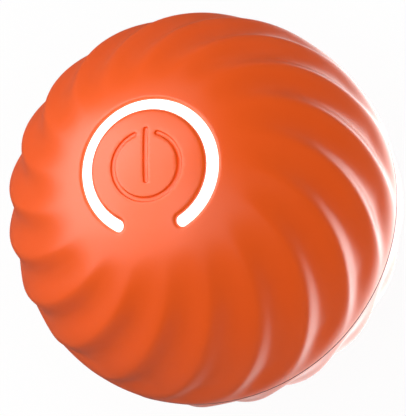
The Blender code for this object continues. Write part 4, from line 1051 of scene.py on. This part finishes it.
# %% Dress the inner pieces
SLOTS = {slot["slot"]: slot for slot in frame["record"]["materials"]}
inner = {name: inner_finish(SLOTS[name], *grain) for name, grain in GRAINS.items()}
dressed = 0
for part in frame["record"]["subparts"]:
    name = part["material_slot"]
    if name in inner:
        node = NODES[part["node"]]
        node.data.materials.clear()
        node.data.materials.append(inner[name].material)
        dressed += 1
print("inner nodes dressed", dressed, "in", len(inner), "finishes")

# %% [markdown]
# ## The camera
#
# The picture looks down on the ball from the side of the button, through a long lens. A camera could
# be placed by eye. Here the ball's outline in the picture, a circle of about 198 pixels' radius a
# little left of the middle, gives the lens and the shift, and the button's place in that circle
# gives the direction.

# %% Camera
CAMERA_DISTANCE = 0.716
CAMERA_AXIS = Vector((0.289, -0.217, 0.932)).normalized()
CAMERA_TURN = math.radians(-3.0)
CAMERA_LENS = 284.2
SENSOR_WIDTH = 36.0
PICTURE_HEIGHT = 416
SHIFT_X = -2.4 / PICTURE_HEIGHT
SHIFT_Y = 1.9 / PICTURE_HEIGHT

tilt = POLE.rotation_difference(CAMERA_AXIS).to_matrix()
turned = Matrix.Rotation(CAMERA_TURN, 3, "Z") @ tilt
camera_data = bpy.data.cameras.new("camera")
camera_data.lens = CAMERA_LENS
camera_data.sensor_width = SENSOR_WIDTH
camera_data.shift_x = SHIFT_X
camera_data.shift_y = SHIFT_Y
camera = bpy.data.objects.new("camera", camera_data)
camera.matrix_world = Matrix.Translation(turned.col[2] * CAMERA_DISTANCE) @ turned.to_4x4()
bpy.context.collection.objects.link(camera)
bpy.context.scene.camera = camera
print("camera at", [round(value, 4) for value in camera.matrix_world.translation])

# %% [markdown]
# ## What the background is
#
# The picture's ground is plain white paper with a soft shadow. A white floor under enough light would
# do it, but that light would bleach the ball. So the camera sees the room as white and the floor as
# nearly white whatever lights them, and the ball is lit on its own. Rubber this shiny would turn
# pale as a mirror of a white room, so gloss sees room and floor dim, as through a polarising
# filter.

# %% Helpers for the background
ROOM_GLOSS = 0.1


def background(graph):
    """Two signals: 1 for what is seen straight or through glass, and 1 for what gloss shows."""
    rays = ["Is Camera Ray", "Is Transmission Ray", "Is Glossy Ray"]
    straight, through, gloss = [graph.node("ShaderNodeLightPath", output=ray) for ray in rays]
    return straight + through, gloss


def emission(graph, strength):
    """A shader that glows white."""
    return graph.node("ShaderNodeEmission", {}, {"Color": WHITE, "Strength": strength})


def mix_shader(graph, share, first, second):
    """A mix of two shaders."""
    return graph.node("ShaderNodeMixShader", {}, {0: share, 1: first, 2: second})


def in_picture(right, up, back):
    """A direction given by the picture's own sides."""
    return (turned @ Vector((right, up, back))).normalized()


print("gloss sees the room at", ROOM_GLOSS, "of white")

# %% [markdown]
# ## The floor
#
# The ball rests on a white floor, which keeps its soft shadow. The bands on the ball's right side
# mirror a bright patch of the table beside it. The patch could be a lamp lying on the floor. It is
# part of the floor's material instead, seen by gloss only, so that it fades out softly and casts
# no light of its own on the shadow.

# %% Floor
FLOOR_SIZE = 4.0
FLOOR_WHITE = (0.90, 0.90, 0.90)
FLOOR_DEEP = (0.88, 0.88, 0.88)
FLOOR_SCALE = 40.0
FLOOR_ROUGHNESS = 0.9
WHITE_SHARE = 0.95
PATCH_WAY = math.radians(8.0)
PATCH_OUT = 60.0 * MM
PATCH_END = 110.0 * MM
PATCH_LIGHT = 5.7


def bright_patch(graph):
    """1 in the middle of the bright patch beside the ball, 0 away from it."""
    centre = in_picture(math.cos(PATCH_WAY), math.sin(PATCH_WAY), 0.0)
    centre.z = 0.0
    place = graph.node("ShaderNodeTexCoord", output="Object")
    sockets = {0: place, 1: centre.normalized() * PATCH_OUT}
    off_centre = graph.node("ShaderNodeVectorMath", {"operation": "DISTANCE"}, sockets, output="Value")
    return graph.step(off_centre, PATCH_END, 0.0)


def floor_finish():
    """White paper: lit for dull light, nearly plain white for the camera, dim for gloss."""
    finish = Finish("floor_white", roughness=FLOOR_ROUGHNESS, specular_ior_level=0.0)
    finish.set(base_color=finish.blend(finish.noise(FLOOR_SCALE), FLOOR_DEEP, FLOOR_WHITE))
    seen, in_gloss = background(finish)
    lit = Signal(finish, finish.shader.outputs[0])
    plain = mix_shader(finish, seen * WHITE_SHARE, lit, emission(finish, 1.0))
    dim = emission(finish, ROOM_GLOSS)
    glossed = mix_shader(finish, bright_patch(finish), dim, emission(finish, PATCH_LIGHT))
    surface = mix_shader(finish, in_gloss, plain, glossed)
    finish.plug(finish.tree.nodes["Material Output"].inputs["Surface"], surface)
    return finish


def make_floor():
    """A square floor that the ball rests on."""
    mesh = bpy.data.meshes.new("floor")
    half = FLOOR_SIZE / 2
    corners = [(-half, -half, 0.0), (half, -half, 0.0), (half, half, 0.0), (-half, half, 0.0)]
    mesh.from_pydata(corners, [], [(0, 1, 2, 3)])
    floor = bpy.data.objects.new("floor", mesh)
    floor.location.z = -BALL_RADIUS
    bpy.context.collection.objects.link(floor)
    mesh.materials.append(floor_finish().material)
    print("floor at", round(floor.location.z / MM, 3), "mm")


make_floor()

# %% [markdown]
# ## The room
#
# Beyond the floor the camera sees plain white. Dull light gets only a sixth of that from all round,
# which keeps the shadows soft without filling them up. One world with three levels does it, by the
# kind of ray that looks.

# %% World
AMBIENT = 0.16


def make_world():
    """White for the camera, faint for dull light, dim for gloss."""
    world = bpy.data.worlds.new("studio")
    world.use_nodes = True
    graph = Graph(world.node_tree)
    seen, in_gloss = background(graph)
    level = AMBIENT + seen * (1 - AMBIENT) + in_gloss * (ROOM_GLOSS - AMBIENT)
    graph.plug(graph.tree.nodes["Background"].inputs["Strength"], level)
    graph.plug(graph.tree.nodes["Background"].inputs["Color"], WHITE)
    bpy.context.scene.world = world


make_world()
print("ambient light", AMBIENT, "of white")

# %% [markdown]
# ## The lamps
#
# Panels on the picture's left and above it and one by the camera light the ball. The camera's panel
# gives no gloss, and a wide one on the left gives gloss only. A photographer gets this with softboxes
# and a polarising filter. Point lamps would be simpler, but their highlights would be hard dots.

# %% Lamps
# Per panel: its name, its direction (right, up and back in the picture), its distance, side and
# power, whether it lights surfaces, and whether it shows in gloss.
PANELS = (
    ("left_panel", (-0.93, 0.25, 0.26), 0.7, 0.7, 3.0, True, True),
    ("upper_panel", (-0.43, 0.75, 0.5), 0.8, 0.7, 1.5, True, True),
    ("camera_panel", (0.0, 0.0, 1.0), 1.0, 0.7, 5.5, True, False),
    ("shine_panel", (-0.74, 0.20, 0.64), 0.8, 1.3, 16.0, False, True),
)


def make_panel(name, way, distance, size, power, lights, shines):
    """A square lamp in a direction from the ball, which lights surfaces, shows in gloss, or both."""
    lamp = bpy.data.lights.new(name, "AREA")
    lamp.shape = "SQUARE"
    lamp.size = size
    lamp.energy = power
    away = in_picture(*way)
    panel = bpy.data.objects.new(name, lamp)
    panel.location = away * distance
    panel.rotation_euler = away.to_track_quat("Z", "Y").to_euler()
    panel.visible_diffuse = lights
    panel.visible_glossy = shines
    bpy.context.collection.objects.link(panel)
    print(name, "at", [round(value, 3) for value in panel.location])


for panel_facts in PANELS:
    make_panel(*panel_facts)

# %% [markdown]
# ## The view
#
# The Standard view shows colours as they are written.

# %% Finish
bpy.context.scene.view_settings.view_transform = "Standard"
